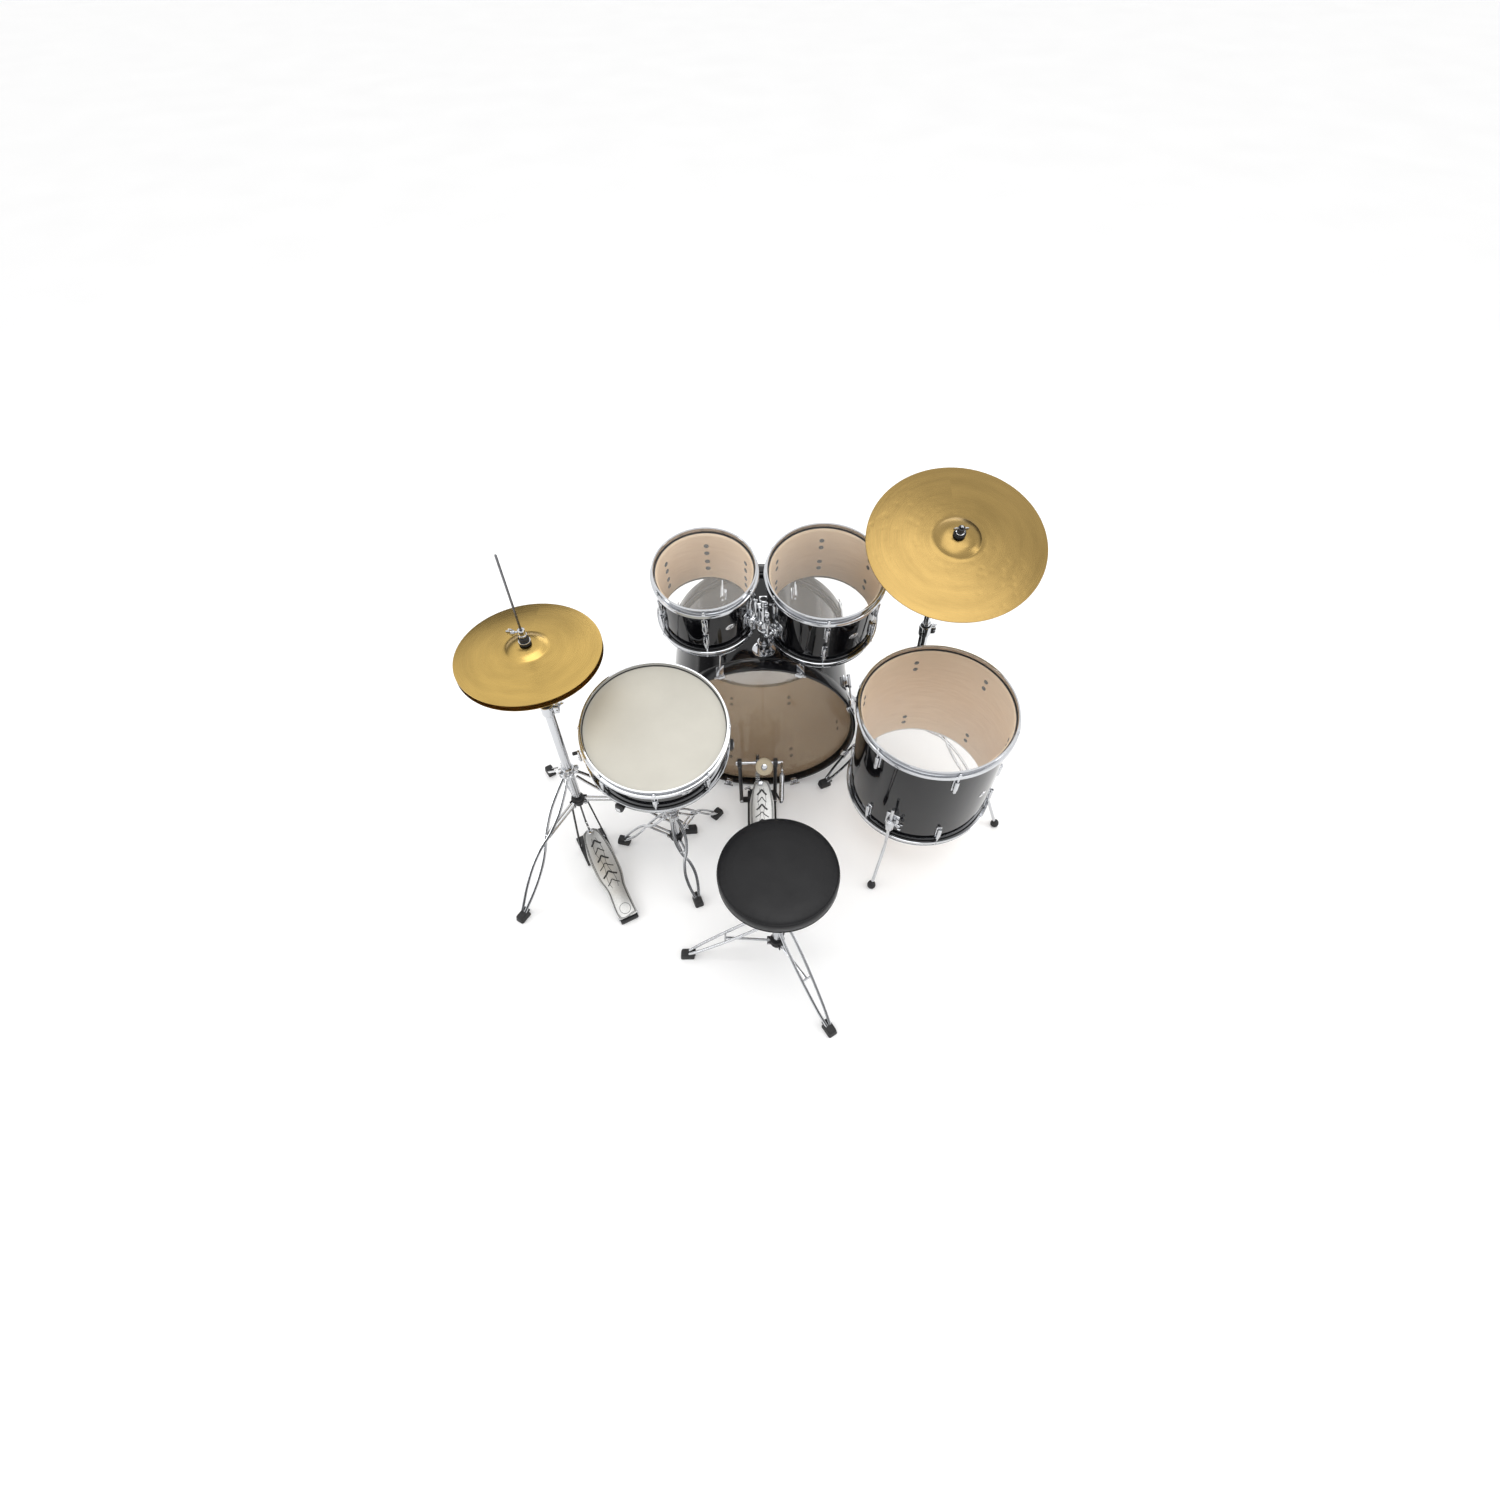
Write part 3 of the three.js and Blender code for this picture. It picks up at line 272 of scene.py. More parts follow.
CHROME = plating()
SHELL_LACQUER = shell_lacquer()
HOOP_LACQUER = hoop_lacquer()
SHELL_WOOD = shell_wood()
CLEAR_FILM = film("clear_head", (0.86, 0.84, 0.80), 0.07, 0.10, 0.05)
SMOKED_FILM = film("smoked_head", (0.27, 0.21, 0.14), 0.46, 0.09, 0.12)
COATED_FILM = coated_film()
HAT_BRASS = lathed_brass("hat_brass", (0.58, 0.39, 0.12), False)
# The crash brass is the hat brass darkened: painted shade that holds down the overhead light it reflects.
SHADED_CRASH_BRASS = lathed_brass("crash_brass_painted_shade", (0.335, 0.225, 0.078), True)
VINYL = grained_vinyl()
RUBBER = speckled("black_rubber", (0.014, 0.014, 0.015), 0.62, 320, 0.2)
BLACK_FELT = speckled("black_felt", (0.012, 0.012, 0.012), 0.95, 900, 0.6)
PALE_FELT = speckled("felt", (0.48, 0.41, 0.29), 0.96, 700, 0.7)
BLACK_PAINT = speckled("black_paint", (0.014, 0.014, 0.015), 0.38, 260, 0.08)
DARK_STEEL = speckled("dark_steel", (0.16, 0.16, 0.17), 0.26, 200, 0.05, 1.0)
BOARD_METAL = speckled("board_metal", (0.50, 0.50, 0.49), 0.36, 240, 0.06, 0.85, 0.08)
WIRE_STEEL = speckled("steel_wire", (0.62, 0.62, 0.63), 0.24, 300, 0.05, 1.0, 0.08)
SCREW_HEAD = speckled("screw_head", (0.045, 0.045, 0.05), 0.45, 200, 0.05)
LINE_INK = speckled("line_ink", (0.02, 0.02, 0.021), 0.5, 200, 0.05)
GOLD_PLATE = speckled("gold_plate", (0.62, 0.42, 0.14), 0.24, 200, 0.04, 1.0, 0.1)


# ------------------------------------------------------------------ moves

def at(x=0.0, y=0.0, z=0.0):
    return Matrix.Translation((x, y, z))


def turn(angle, axis="Z"):
    return Matrix.Rotation(math.radians(angle), 4, axis)


def round_at(angle, reach, z):
    """A place on a circle, with +X pointing outwards."""
    return turn(angle) @ at(reach, 0, z)


def aimed(start, end):
    """A place at start with +Z towards end."""
    way = Vector(end) - Vector(start)
    return Matrix.Translation(start) @ way.to_track_quat("Z", "Y").to_matrix().to_4x4()


def facing(origin, direction):
    """A place in metres whose +Z faces along a direction and whose +X stays level."""
    z = Vector(direction).normalized()
    x = (Vector((1, 0, 0)) - z * z.x).normalized()
    basis = Matrix((x, z.cross(x), z)).transposed().to_4x4()
    return Matrix.Translation(origin) @ basis


def corners_of(name):
    points = np.array([v.co for v in frame["nodes"][name].data.vertices], float)
    return np.unique(np.round(points, 5), axis=0)


def round_place(name, towards, lift):
    """The place on a round CAD node's axis, lift millimetres past its outermost face."""
    points = corners_of(name)
    centre = points.mean(0)
    axis = np.linalg.svd(points - centre)[2][2]
    if axis @ np.array(towards) < 0:
        axis = -axis
    high = ((points - centre) @ axis).max() + lift / 1000
    return Vector(centre + axis * high), Vector(axis)


def drum_place(name):
    origin, axis = round_place(f"{name}_batter_head", (0, 0, 1), HEAD_DEPTH)
    return facing(origin, axis)


def stand_place(name):
    """The floor under a stand's tube."""
    points = corners_of(name)
    low = points[points[:, 2] < points[:, 2].min() + 0.001]
    x, y = (low[:, :2].min(0) + low[:, :2].max(0)) / 2
    return Matrix.Translation((x, y, 0))


# ------------------------------------------------------------------ shapes, in millimetres

def fresh():
    made = bmesh.new()
    made.loops.layers.uv.new("UVMap")
    return made


def moved(part, place):
    part.transform(place)
    return part


def eased(profile, radius, closed=False, steps=2):
    """A profile with its corners rounded."""
    points = [Vector(p) for p in profile]
    count = len(points)
    result = []
    for index, corner in enumerate(points):
        if not closed and index in (0, count - 1):
            result.append(corner)
            continue
        before = points[index - 1] - corner
        after = points[(index + 1) % count] - corner
        reach = min(radius, before.length * 0.45, after.length * 0.45)
        first = corner + before.normalized() * reach
        last = corner + after.normalized() * reach
        for step in range(steps + 1):
            t = step / steps
            result.append(first * (1 - t) ** 2 + corner * 2 * t * (1 - t) + last * t * t)
    return [(max(p.x, 0.0), p.y) for p in result]


def turned(profile, steps=48, closed=False, ease=0.0):
    """A profile of radius and height spun round Z."""
    if ease:
        profile = eased(profile, ease, closed)
    part = fresh()
    corners = [part.verts.new((radius, 0, z)) for radius, z in profile]
    pairs = list(zip(corners, corners[1:])) + ([(corners[-1], corners[0])] if closed else [])
    edges = [part.edges.new(pair) for pair in pairs]
    bmesh.ops.spin(
        part, geom=corners + edges, cent=(0, 0, 0), axis=(0, 0, 1),
        angle=math.tau, steps=steps, use_merge=True,
    )
    bmesh.ops.remove_doubles(part, verts=part.verts, dist=1e-4)
    bmesh.ops.recalc_face_normals(part, faces=part.faces)
    return part


def ring(inner, outer, low, high, steps=48, ease=0.6):
    return turned([(inner, low), (outer, low), (outer, high), (inner, high)], steps, True, ease)


def inner_wall(profile, steps):
    """A turned wall whose faces look at the axis."""
    part = turned(profile, steps)
    for face in part.faces:
        middle = face.calc_center_median()
        if face.normal.dot(Vector((middle.x, middle.y, 0))) > 0:
            face.normal_flip()
    return part


def rod(start, end, radius, steps=14, ease=0.5):
    long = (Vector(end) - Vector(start)).length
    ease = min(ease, radius * 0.6, long * 0.3)
    profile = [(0, 0), (radius - ease, 0), (radius, ease),
               (radius, long - ease), (radius - ease, long), (0, long)]
    return moved(turned(profile, steps), aimed(start, end))


def block(size, ease=1.0, taper=1.0, segments=2):
    """A box with its edges rounded, and its top narrowed by taper."""
    part = fresh()
    bmesh.ops.create_cube(part, size=1.0)
    bmesh.ops.scale(part, vec=size, verts=part.verts)
    for corner in part.verts:
        if corner.co.z > 0:
            corner.co.x *= taper
            corner.co.y *= taper
    if ease:
        bmesh.ops.bevel(
            part, geom=list(part.edges), offset=ease, offset_type="OFFSET", affect="EDGES",
            segments=segments, profile=0.5, material=-1, clamp_overlap=True,
        )
    return part


def pebble(size, u, v):
    part = fresh()
    bmesh.ops.create_uvsphere(part, u_segments=u, v_segments=v, radius=0.5)
    bmesh.ops.scale(part, vec=size, verts=part.verts)
    return part


def smooth_path(points, steps=6):
    """A path through points, rounded where it bends."""
    points = [Vector(p) for p in points]
    padded = [points[0] * 2 - points[1]] + points + [points[-1] * 2 - points[-2]]
    result = []
    for a, b, c, d in zip(padded, padded[1:], padded[2:], padded[3:]):
        for step in range(steps):
            t = step / steps
            curve = (b * 2 + (c - a) * t + (a * 2 - b * 5 + c * 4 - d) * t * t
                     + (b * 3 - a - c * 3 + d) * t ** 3)
            result.append(curve / 2)
    return result + [points[-1]]


def swept(path, width, thick=None, sides=10, across=None, ease=0.0):
    """A round rod, or a flat strap when thick is given, extruded along a path."""
    path = [Vector(p) for p in path]
    ways = [(b - a).normalized() for a, b in zip(path, path[1:])]
    ways = [ways[0]] + [(a + b).normalized() for a, b in zip(ways, ways[1:])] + [ways[-1]]
    side = Vector(across) if across else ways[0].orthogonal()
    part = fresh()
    if thick is None:
        bmesh.ops.create_circle(part, cap_ends=True, radius=width, segments=sides)
    else:
        bmesh.ops.create_grid(part, x_segments=1, y_segments=1, size=0.5)
        bmesh.ops.scale(part, vec=(width, thick, 1), verts=part.verts)
        if ease:
            bmesh.ops.bevel(
                part, geom=list(part.verts), offset=ease, offset_type="OFFSET",
                affect="VERTICES", segments=2, profile=0.5, material=-1,
            )
    last = HERE
    end = list(part.faces)
    for index, (point, way) in enumerate(zip(path, ways)):
        side = (side - way * side.dot(way)).normalized()
        here = Matrix.Translation(point) @ Matrix((side, way.cross(side), way)).transposed().to_4x4()
        if index:
            grown = bmesh.ops.extrude_face_region(part, geom=end)["geom"]
            end = [item for item in grown if isinstance(item, bmesh.types.BMFace)]
            corners = [item for item in grown if isinstance(item, bmesh.types.BMVert)]
        else:
            corners = list(part.verts)
        bmesh.ops.transform(part, matrix=here @ last.inverted(), verts=corners)
        last = here
    bmesh.ops.recalc_face_normals(part, faces=part.faces)
    return part


class Piece:
    """One visible piece, gathered from parts in the frame of its drum, stand or pedal."""

    def __init__(self, cad_node, slot, place=HERE, extra=""):
        self.cad_node = cad_node
        self.slot = slot
        self.place = place
        self.extra = extra
        self.gathered = fresh()
        self.finishes = []

    def take(self, part, material, place=HERE):
        """Add a part in one finish, set down at a place in the piece's own frame."""
        if material not in self.finishes:
            self.finishes.append(material)
        for face in part.faces:
            face.material_index = self.finishes.index(material)
            face.smooth = True
        part.transform(self.place @ MM @ place)
        holder = bpy.data.meshes.new("holder")
        part.to_mesh(holder)
        part.free()
        self.gathered.from_mesh(holder)
        bpy.data.meshes.remove(holder)

    def done(self, sharp=34):
        name = f"{self.cad_node}_{self.extra or 'finished'}"
        mesh = bpy.data.meshes.new(name)
        self.gathered.to_mesh(mesh)
        self.gathered.free()
        for material in self.finishes:
            mesh.materials.append(material)
        mesh.set_sharp_from_angle(angle=math.radians(sharp))
        made = bpy.data.objects.new(name, mesh)
        bpy.context.scene.collection.objects.link(made)
        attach(made, frame["nodes"][self.cad_node]["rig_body"])
        if not self.extra:
            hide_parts(self.cad_node)
        return made


# ------------------------------------------------------------------ small fittings

def wing_screw(piece, place, shaft, wing, radius=3.2):
    """A screw along +Z from its tip, with a hub and two ears."""
    piece.take(rod((0, 0, 0), (0, 0, shaft), radius), CHROME, place)
    top = shaft + 9
    hub = turned([(0, shaft), (radius + 3, shaft), (radius + 2, top), (0, top)], 16, ease=1.2)
    piece.take(hub, CHROME, place)
    for side in (-1, 1):
        spot = place @ at(side * (radius + wing * 0.42), 0, shaft + 8) @ turn(side * 24, "Y")
        piece.take(pebble((wing, 3.4, 12), 12, 8), CHROME, spot)


def square_rod(piece, angle, reach, top, low):
    """A tension rod with its washer and square head."""
    spot = round_at(angle, reach, 0)
    piece.take(rod((0, 0, low), (0, 0, top - 2), 2.6, 10), CHROME, spot)
    piece.take(ring(2.6, 5.4, top - 10, top - 8.4, 16, 0.4), CHROME, spot)
    head = turned([(0, top - 8.6), (4.9, top - 8.6), (4.6, top - 5.4), (0, top - 5.4)], 14, ease=0.5)
    piece.take(head, CHROME, spot)
    piece.take(block((5.4, 5.4, 6.6), 0.8), CHROME, spot @ at(0, 0, top - 2.9))


def lug_casing(piece, place, high):
    """A chrome lug: foot plate, rounded body and the tube that takes the rod."""
    piece.take(block((4, LUG_WIDE + 2, high), 1.6), CHROME, place @ at(1, 0, 0))
    body = block((LUG_DEEP - 2, LUG_WIDE - 2, high * 0.72), 3.6, segments=3)
    piece.take(body, CHROME, place @ at(LUG_DEEP / 2 - 1, 0, 0))
    piece.take(ring(2.8, 5.6, -high / 2, high / 2, 16, 1.0), CHROME, place @ at(ROD_REACH, 0, 0))


# ------------------------------------------------------------------ drums with steel hoops

def hoop_profile(radius):
    inner = radius + 2.5
    return [
        (inner, -19), (inner, -1.2), (inner + 0.8, 0), (inner + 4.5, 0.2), (inner + 5, -1),
        (inner + 4.5, -2), (inner + 2.2, -2.6), (inner + 2.2, -15), (radius + 11.5, -16),
        (radius + 12.5, -17.5), (radius + 12.5, -26.8), (radius + 11, -27.4),
        (radius + 10.5, -26.5), (radius + 10.5, -19),
    ]


def turned_over(drum):
    """The place of the lower hoop and head: the upper ones mirrored down."""
    return at(0, 0, -drum["height"]) @ Matrix.Scale(-1, 4, (0, 0, 1))


def lug_angles(drum):
    return [drum["first_lug"] + 360 * step / drum["lugs"] for step in range(drum["lugs"])]


def mirrored(part, place):
    """A part carried through a mirror, with its faces turned back outwards."""
    part.transform(place)
    bmesh.ops.reverse_faces(part, faces=part.faces)
    return part


def add_hoops_and_heads(name, drum, place, film_above, film_below, slot_above):
    radius = drum["radius"]
    for level, flip in (("top", HERE), ("bottom", turned_over(drum))):
        hoop = Piece(f"{name}_{level}_hoop", "chrome", place)
        rim = turned(hoop_profile(radius), 96, True)
        hoop.take(rim if flip is HERE else mirrored(rim, flip), CHROME)
        for angle in lug_angles(drum):
            rods = Piece("", "", BENCH)
            square_rod(rods, angle, radius + ROD_REACH, -5.5, LUG_HIGH / 2 - LUG_MIDDLE)
            hoop.take(rods.gathered if flip is HERE else mirrored(rods.gathered, flip), CHROME)
        hoop.done()
    for level, flip, surface, slot in (
        ("batter", HERE, film_above, slot_above),
        ("lower", turned_over(drum), film_below, "clear_head"),
    ):
        head = Piece(f"{name}_{level}_head", slot, place)
        skin = turned([
            (0, -HEAD_DEPTH), (radius - 2, -HEAD_DEPTH), (radius + 0.6, -HEAD_DEPTH - 0.8),
            (radius + 0.6, -HEAD_DEPTH - 1.4), (radius - 2, -HEAD_DEPTH - 0.6), (0, -HEAD_DEPTH - 0.6),
        ], 96)
        collar = ring(radius + 0.4, radius + 2.2, -HEAD_DEPTH - 8, -HEAD_DEPTH + 0.6, 96, 0.4)
        head.take(skin if flip is HERE else mirrored(skin, flip), surface)
        head.take(collar if flip is HERE else mirrored(collar, flip), BLACK_PAINT)
        head.done()


def take_shell(piece, drum, spanning):
    radius, wall, height = drum["radius"], drum["wall"], drum["height"]
    high, low = -HEAD_DEPTH - 1.5, HEAD_DEPTH + 1.5 - height
    outside = turned([(radius - 1.5, low), (radius, low + 2), (radius, high - 2), (radius - 1.5, high)], 96)
    inside = inner_wall([
        (radius - 1.5, high), (radius - wall + 1.5, high - 3.5), (radius - wall, high - 6),
        (radius - wall, low + 6), (radius - wall + 1.5, low + 3.5), (radius - 1.5, low),
    ], 96)
    piece.take(outside, SHELL_LACQUER)
    piece.take(inside, SHELL_WOOD)
    for angle in lug_angles(drum):
        if spanning:
            span = height - 2 * LUG_MIDDLE + LUG_HIGH
            lug_casing(piece, round_at(angle, radius - 1, -height / 2), span)
            screws = (-height / 2 - 12, -height / 2 + 12)
        else:
            levels = (-LUG_MIDDLE, LUG_MIDDLE - height)
            for level in levels:
                lug_casing(piece, round_at(angle, radius - 1, level), LUG_HIGH)
            screws = [level + part for level in levels for part in (-14, 14)]
        for z in screws:
            spot = round_at(angle, radius - wall, z) @ turn(-90, "Y")
            piece.take(turned([(0, 2.1), (3.4, 2.0), (6.9, 1.0), (7.3, -1), (0, -1)], 16), SCREW_HEAD, spot)


def take_vent(piece, drum, angle, z):
    """The grommet that lets air out, on a small plain plate."""
    spot = round_at(angle, drum["radius"], z) @ turn(90, "Y")
    plate = turned([(4, 1.6), (13, 1.2), (14, 0), (14, -1), (4, -1)], 32, True, 0.3)
    piece.take(moved(plate, Matrix.Scale(0.62, 4, (1, 0, 0))), WIRE_STEEL, spot)
    piece.take(ring(2.4, 4.6, -1, 2.6, 20, 0.5), CHROME, spot)


# ------------------------------------------------------------------ rack toms and their holder

def holder_axis():
    return stand_place("tom_holder_post")


def add_rack_tom(name, drum, bracket):
    place = drum_place(name)
    radius = drum["radius"]
    shell = Piece(f"{name}_shell", "black_lacquer", place)
    take_shell(shell, drum, False)
    take_vent(shell, drum, -60, -drum["height"] / 2)
    spot = round_at(bracket["angle"], radius - 1, bracket["height"])
    shell.take(block((4, 40, 58), 1.6), CHROME, spot @ at(2, 0, 0))
    shell.take(block((20, 28, 34), 5, segments=3), CHROME, spot @ at(13, 0, 0))
    shell.take(moved(ring(6, 14, -9, 9, 28, 1.5), turn(90, "Y")), CHROME, spot @ at(16, 0, 0))
    wing_screw(shell, spot @ at(12, 0, 14), 9, 10)
    shell.done()
    add_hoops_and_heads(name, drum, place, CLEAR_FILM, CLEAR_FILM, "clear_head")

    post = holder_axis()
    to_post = (post @ MM).inverted() @ place @ MM
    inside = to_post @ (turn(bracket["angle"]) @ Vector((radius + 16, 0, bracket["height"])))
    outside = to_post @ (turn(bracket["angle"]) @ Vector((radius + 36, 0, bracket["height"])))
    along, high = bracket["clamp"]
    clamp = Vector((along, -HOLDER_RADIUS - 14, high))
    bend = clamp.lerp(outside, 0.5) + Vector((0, -12, 0))
    arm = Piece(f"{name}_arm", "chrome", post)
    arm.take(swept(smooth_path([clamp, bend, outside, inside], 8), 4.8, sides=16), CHROME)
    arm.take(block((15, 19, 21), 3, segments=3), CHROME, at(*clamp))
    arm.take(ring(5, 8, -6, 6, 24, 1), CHROME, at(*clamp) @ aimed((0, 0, 0), bend - clamp) @ at(0, 0, 13))
    arm.take(ring(4.8, 8.5, -5, 5, 24, 1), CHROME, aimed(outside, inside) @ at(0, 0, -4))
    arm.done()


def add_tom_holder():
    place = holder_axis()
    post = Piece("tom_holder_post", "chrome", place)
    post.take(rod((0, 0, HOLDER_BASE + 6), (0, 0, HOLDER_TOP - 4), HOLDER_RADIUS, 40, 1.5), CHROME)
    low, high = HOLDER_TOP - 112, HOLDER_TOP - 100
    post.take(ring(HOLDER_RADIUS - 0.4, HOLDER_RADIUS + 5, low, high, 36, 1.5), CHROME)
    for below, high in ((8, 15), (23, 13)):
        post.take(block((27, 27, high), 3, segments=3), CHROME, at(0, 0, HOLDER_TOP - below))
    cap = [(0, HOLDER_TOP), (9, HOLDER_TOP), (11, HOLDER_TOP - 2), (0, HOLDER_TOP - 2)]
    post.take(turned(cap, 24), RUBBER)
    wing_screw(post, at(15, 0, HOLDER_TOP - 20) @ turn(90, "Y"), 8, 10)
    wing_screw(post, at(-15, 0, HOLDER_TOP - 6) @ turn(-90, "Y"), 8, 10)
    post.done()


# ------------------------------------------------------------------ bass drum

def bass_place():
    origin, outward = round_place("bass_batter_head", (0, -1, 0), 0)
    inward = -outward
    return facing(origin + inward * 0.0015, inward)


def bass_hoop(name, flip):
    hoop = Piece(name, "black_lacquer", bass_place())
    rim = ring(283, 292, -20, 18, 128, 2.6)
    hoop.take(rim if flip is HERE else mirrored(rim, flip), HOOP_LACQUER)
    for angle in BASS_LUG_ANGLES:
        fitting = Piece("", "", BENCH)
        spot = turn(angle)
        fitting.take(block((5, 24, 34), 1.6), CHROME, spot @ at(294.6, 0, -8))
        fitting.take(block((15, 22, 4), 1.4), CHROME, spot @ at(287, 0, -22))
        fitting.take(block((5, 20, 10), 1.4), CHROME, spot @ at(281.5, 0, -19.5))
        fitting.take(rod((294.5, 0, -30), (294.5, 0, 61), 2.9, 12), CHROME, spot)
        fitting.take(rod((294.5, 0, -27), (294.5, 0, -19), 5, 16, 1), CHROME, spot)
        fitting.take(rod((294.5, -17, -30), (294.5, 17, -30), 2.9, 12, 1.2), CHROME, spot)
        hoop.take(fitting.gathered if flip is HERE else mirrored(fitting.gathered, flip), CHROME)
    hoop.done()


def bass_head(name, flip, surface, slot):
    head = Piece(name, slot, bass_place())
    skin = turned([
        (0, -1.5), (276, -1.5), (280, -0.4), (281.2, 3), (280.6, 3), (279.4, 0.4), (275.6, -0.7), (0, -0.7),
    ], 128)
    collar = ring(280, 288, 19, 27, 128, 1.5)
    head.take(skin if flip is HERE else mirrored(skin, flip), surface)
    head.take(collar if flip is HERE else mirrored(collar, flip), BLACK_PAINT)
    head.done()


def add_bass_drum():
    place = bass_place()
    over = at(0, 0, BASS_DEPTH) @ Matrix.Scale(-1, 4, (0, 0, 1))
    bass_hoop("bass_batter_hoop", HERE)
    bass_hoop("bass_front_hoop", over)
    bass_head("bass_batter_head", HERE, SMOKED_FILM, "smoked_head")
    bass_head("bass_front_head", over, CLEAR_FILM, "clear_head")

    shell = Piece("bass_shell", "black_lacquer", place)
    outer, edge, inner = BASS_RADIUS, BASS_RADIUS - 2.4, BASS_RADIUS - BASS_WALL
    outside = turned([(edge, 0), (outer, 2), (outer, BASS_DEPTH - 2), (edge, BASS_DEPTH)], 128)
    inside = inner_wall([(edge, BASS_DEPTH), (inner, BASS_DEPTH - 4), (inner, 4), (edge, 0)], 128)
    shell.take(outside, SHELL_LACQUER)
    shell.take(inside, SHELL_WOOD)
    for angle in BASS_LUG_ANGLES:
        for z in (87, BASS_DEPTH - 87):
            spot = round_at(angle, 278.5, z)
            shell.take(block((4, 17, 50), 1.8), CHROME, spot @ at(2, 0, 0))
            shell.take(block((14, 14, 38), 4.5, segments=3), CHROME, spot @ at(8, 0, 0))
            shell.take(rod((16, 0, -25), (16, 0, 25), 5.4, 18, 1), CHROME, spot)
            for part in (-14, 14):
                screw = round_at(angle, inner, z + part) @ turn(-90, "Y")
                shell.take(turned([(0, 2), (4, 1.8), (7, 0.8), (7, -1), (0, -1)], 16), SCREW_HEAD, screw)
    mount = (place @ MM).inverted() @ holder_axis() @ MM
    shell.take(ring(13.4, 19, 566, 613, 36, 1.5), CHROME, mount)
    shell.take(ring(13.4, 34, 575, 583, 48, 2), CHROME, mount)
    screw = [(0, 587), (2.5, 586.5), (4, 583), (0, 583)]
    for angle in (40, 140, 220, 320):
        shell.take(turned(screw, 12), CHROME, mount @ turn(angle) @ at(27, 0, 0))
    wing_screw(shell, mount @ at(0, -18, 600) @ turn(90, "X"), 8, 10)
    for side in ("left", "right"):
        root = place.inverted() @ Vector(joint(f"{side}_spur_fold")["pos_m"]) * 1000
        inward = -Vector((root.x, root.y, 0)).normalized()
        shell.take(rod(root + inward * 10.5, root + inward * 31, 16.5, 32, 2.4), CHROME)
        shell.take(rod(root + inward * 22, root + inward * 31, 23, 32, 2.4), CHROME)
    shell.done()
    add_spurs()


def joint(name):
    return next(each for each in frame["joints"] if each["name"] == name)


def add_spurs():
    for side, sign in (("left", -1), ("right", 1)):
        root = Vector(joint(f"{side}_spur_fold")["pos_m"]) * 1000
        lean = Vector((sign * 0.5, 0.35, -0.79)).normalized()
        foot = root + lean * ((root.z - 9) / -lean.z)
        spur = Piece(f"bass_{side}_spur", "chrome")
        spur.take(rod(root - lean * 2, foot, 5.8, 20, 1.5), CHROME)
        spur.take(rod(root + lean * 12, root + lean * 26, 8, 20, 1.5), CHROME)
        spur.take(rod(root + lean * 90, root + lean * 104, 7.8, 20, 1.5), CHROME)
        tip = turned([(0, 0), (6, 0), (9, 5), (8.6, 18), (6.4, 22), (0, 22)], 24, ease=1.2)
        spur.take(tip, RUBBER, at(foot.x, foot.y, 0))
        spur.done()


# ------------------------------------------------------------------ floor tom

def to_room(place):
    """Millimetres in a piece's own frame to millimetres in the room."""
    return MM.inverted() @ place @ MM


def add_floor_tom():
    place = drum_place("floor_tom")
    shell = Piece("floor_tom_shell", "black_lacquer", place)
    take_shell(shell, FLOOR_TOM, False)
    take_vent(shell, FLOOR_TOM, -50, -FLOOR_TOM["height"] / 2)
    reach = FLOOR_LEG["reach"]
    for angle in FLOOR_LEG_ANGLES:
        spot = turn(angle) @ at(0, 0, -300)
        shell.take(block((4, 40, 62), 1.8), CHROME, spot @ at(204, 0, 0))
        shell.take(block((22, 26, 42), 5, segments=3), CHROME, spot @ at(reach - 6, 0, 0))
        shell.take(ring(5.6, 11, -23, 23, 24, 1.4), CHROME, spot @ at(reach, 0, 0))
        wing_screw(shell, spot @ at(reach - 4, 12, 4) @ turn(-90, "X"), 8, 10)
    shell.done()
    add_hoops_and_heads("floor_tom", FLOOR_TOM, place, CLEAR_FILM, CLEAR_FILM, "clear_head")
    room = to_room(place)
    for count, angle in enumerate(FLOOR_LEG_ANGLES, 1):
        name = f"floor_tom_leg_{count}"
        on_floor = stand_place(name).translation * 1000
        top = room @ (round_at(angle, reach, FLOOR_LEG["top"]).translation)
        low = room @ (round_at(angle, reach, FLOOR_LEG["knee"]).translation)
        knee = low + (low - top) * 0.25
        foot = Vector((on_floor.x, on_floor.y, 13))
        bend = knee.lerp(foot, 0.35) + (knee - low) * 0.12
        leg = Piece(name, "chrome")
        path = [top, top.lerp(low, 0.5), low, knee, bend, foot]
        leg.take(swept(smooth_path(path, 6), FLOOR_LEG["radius"] - 0.2, sides=16), CHROME)
        leg.take(ring(4.8, 9, -8, 0, 24, 1), CHROME, at(*top.lerp(low, 0.32)) @ aimed((0, 0, 0), top - low))
        ball = [(0, 0), (7, 0), (12.4, 4), (13, 11), (11, 19), (6.5, 25), (0, 25)]
        leg.take(turned(ball, 24, ease=2), RUBBER, at(foot.x, foot.y, 0))
        leg.done()


# ------------------------------------------------------------------ stands

# Along a leg from its hinge to its foot: share of the reach, and distance from the middle.
STRAP_LINE = [(0, 8), (0.1, 13), (0.25, 16), (0.4, 8), (0.47, 0),
              (0.54, -8), (0.68, -15), (0.84, -13), (1, -5)]
ROD_LINE = [(0, 11), (0.12, 15), (0.35, 16), (0.6, 14), (0.85, 10), (1, 5)]


def leg_height(stand, x):
    return stand["collar"] + (12 - stand["collar"]) * x / stand["reach"]


def leg_path(stand, line, side, lift):
    root, end = stand["tube"] + 7, stand["reach"] * 0.96
    points = []
    for share, wide in line:
        x = root + (end - root) * share
        points.append((x, side * wide, leg_height(stand, x) + lift))
    return smooth_path(points, 4)


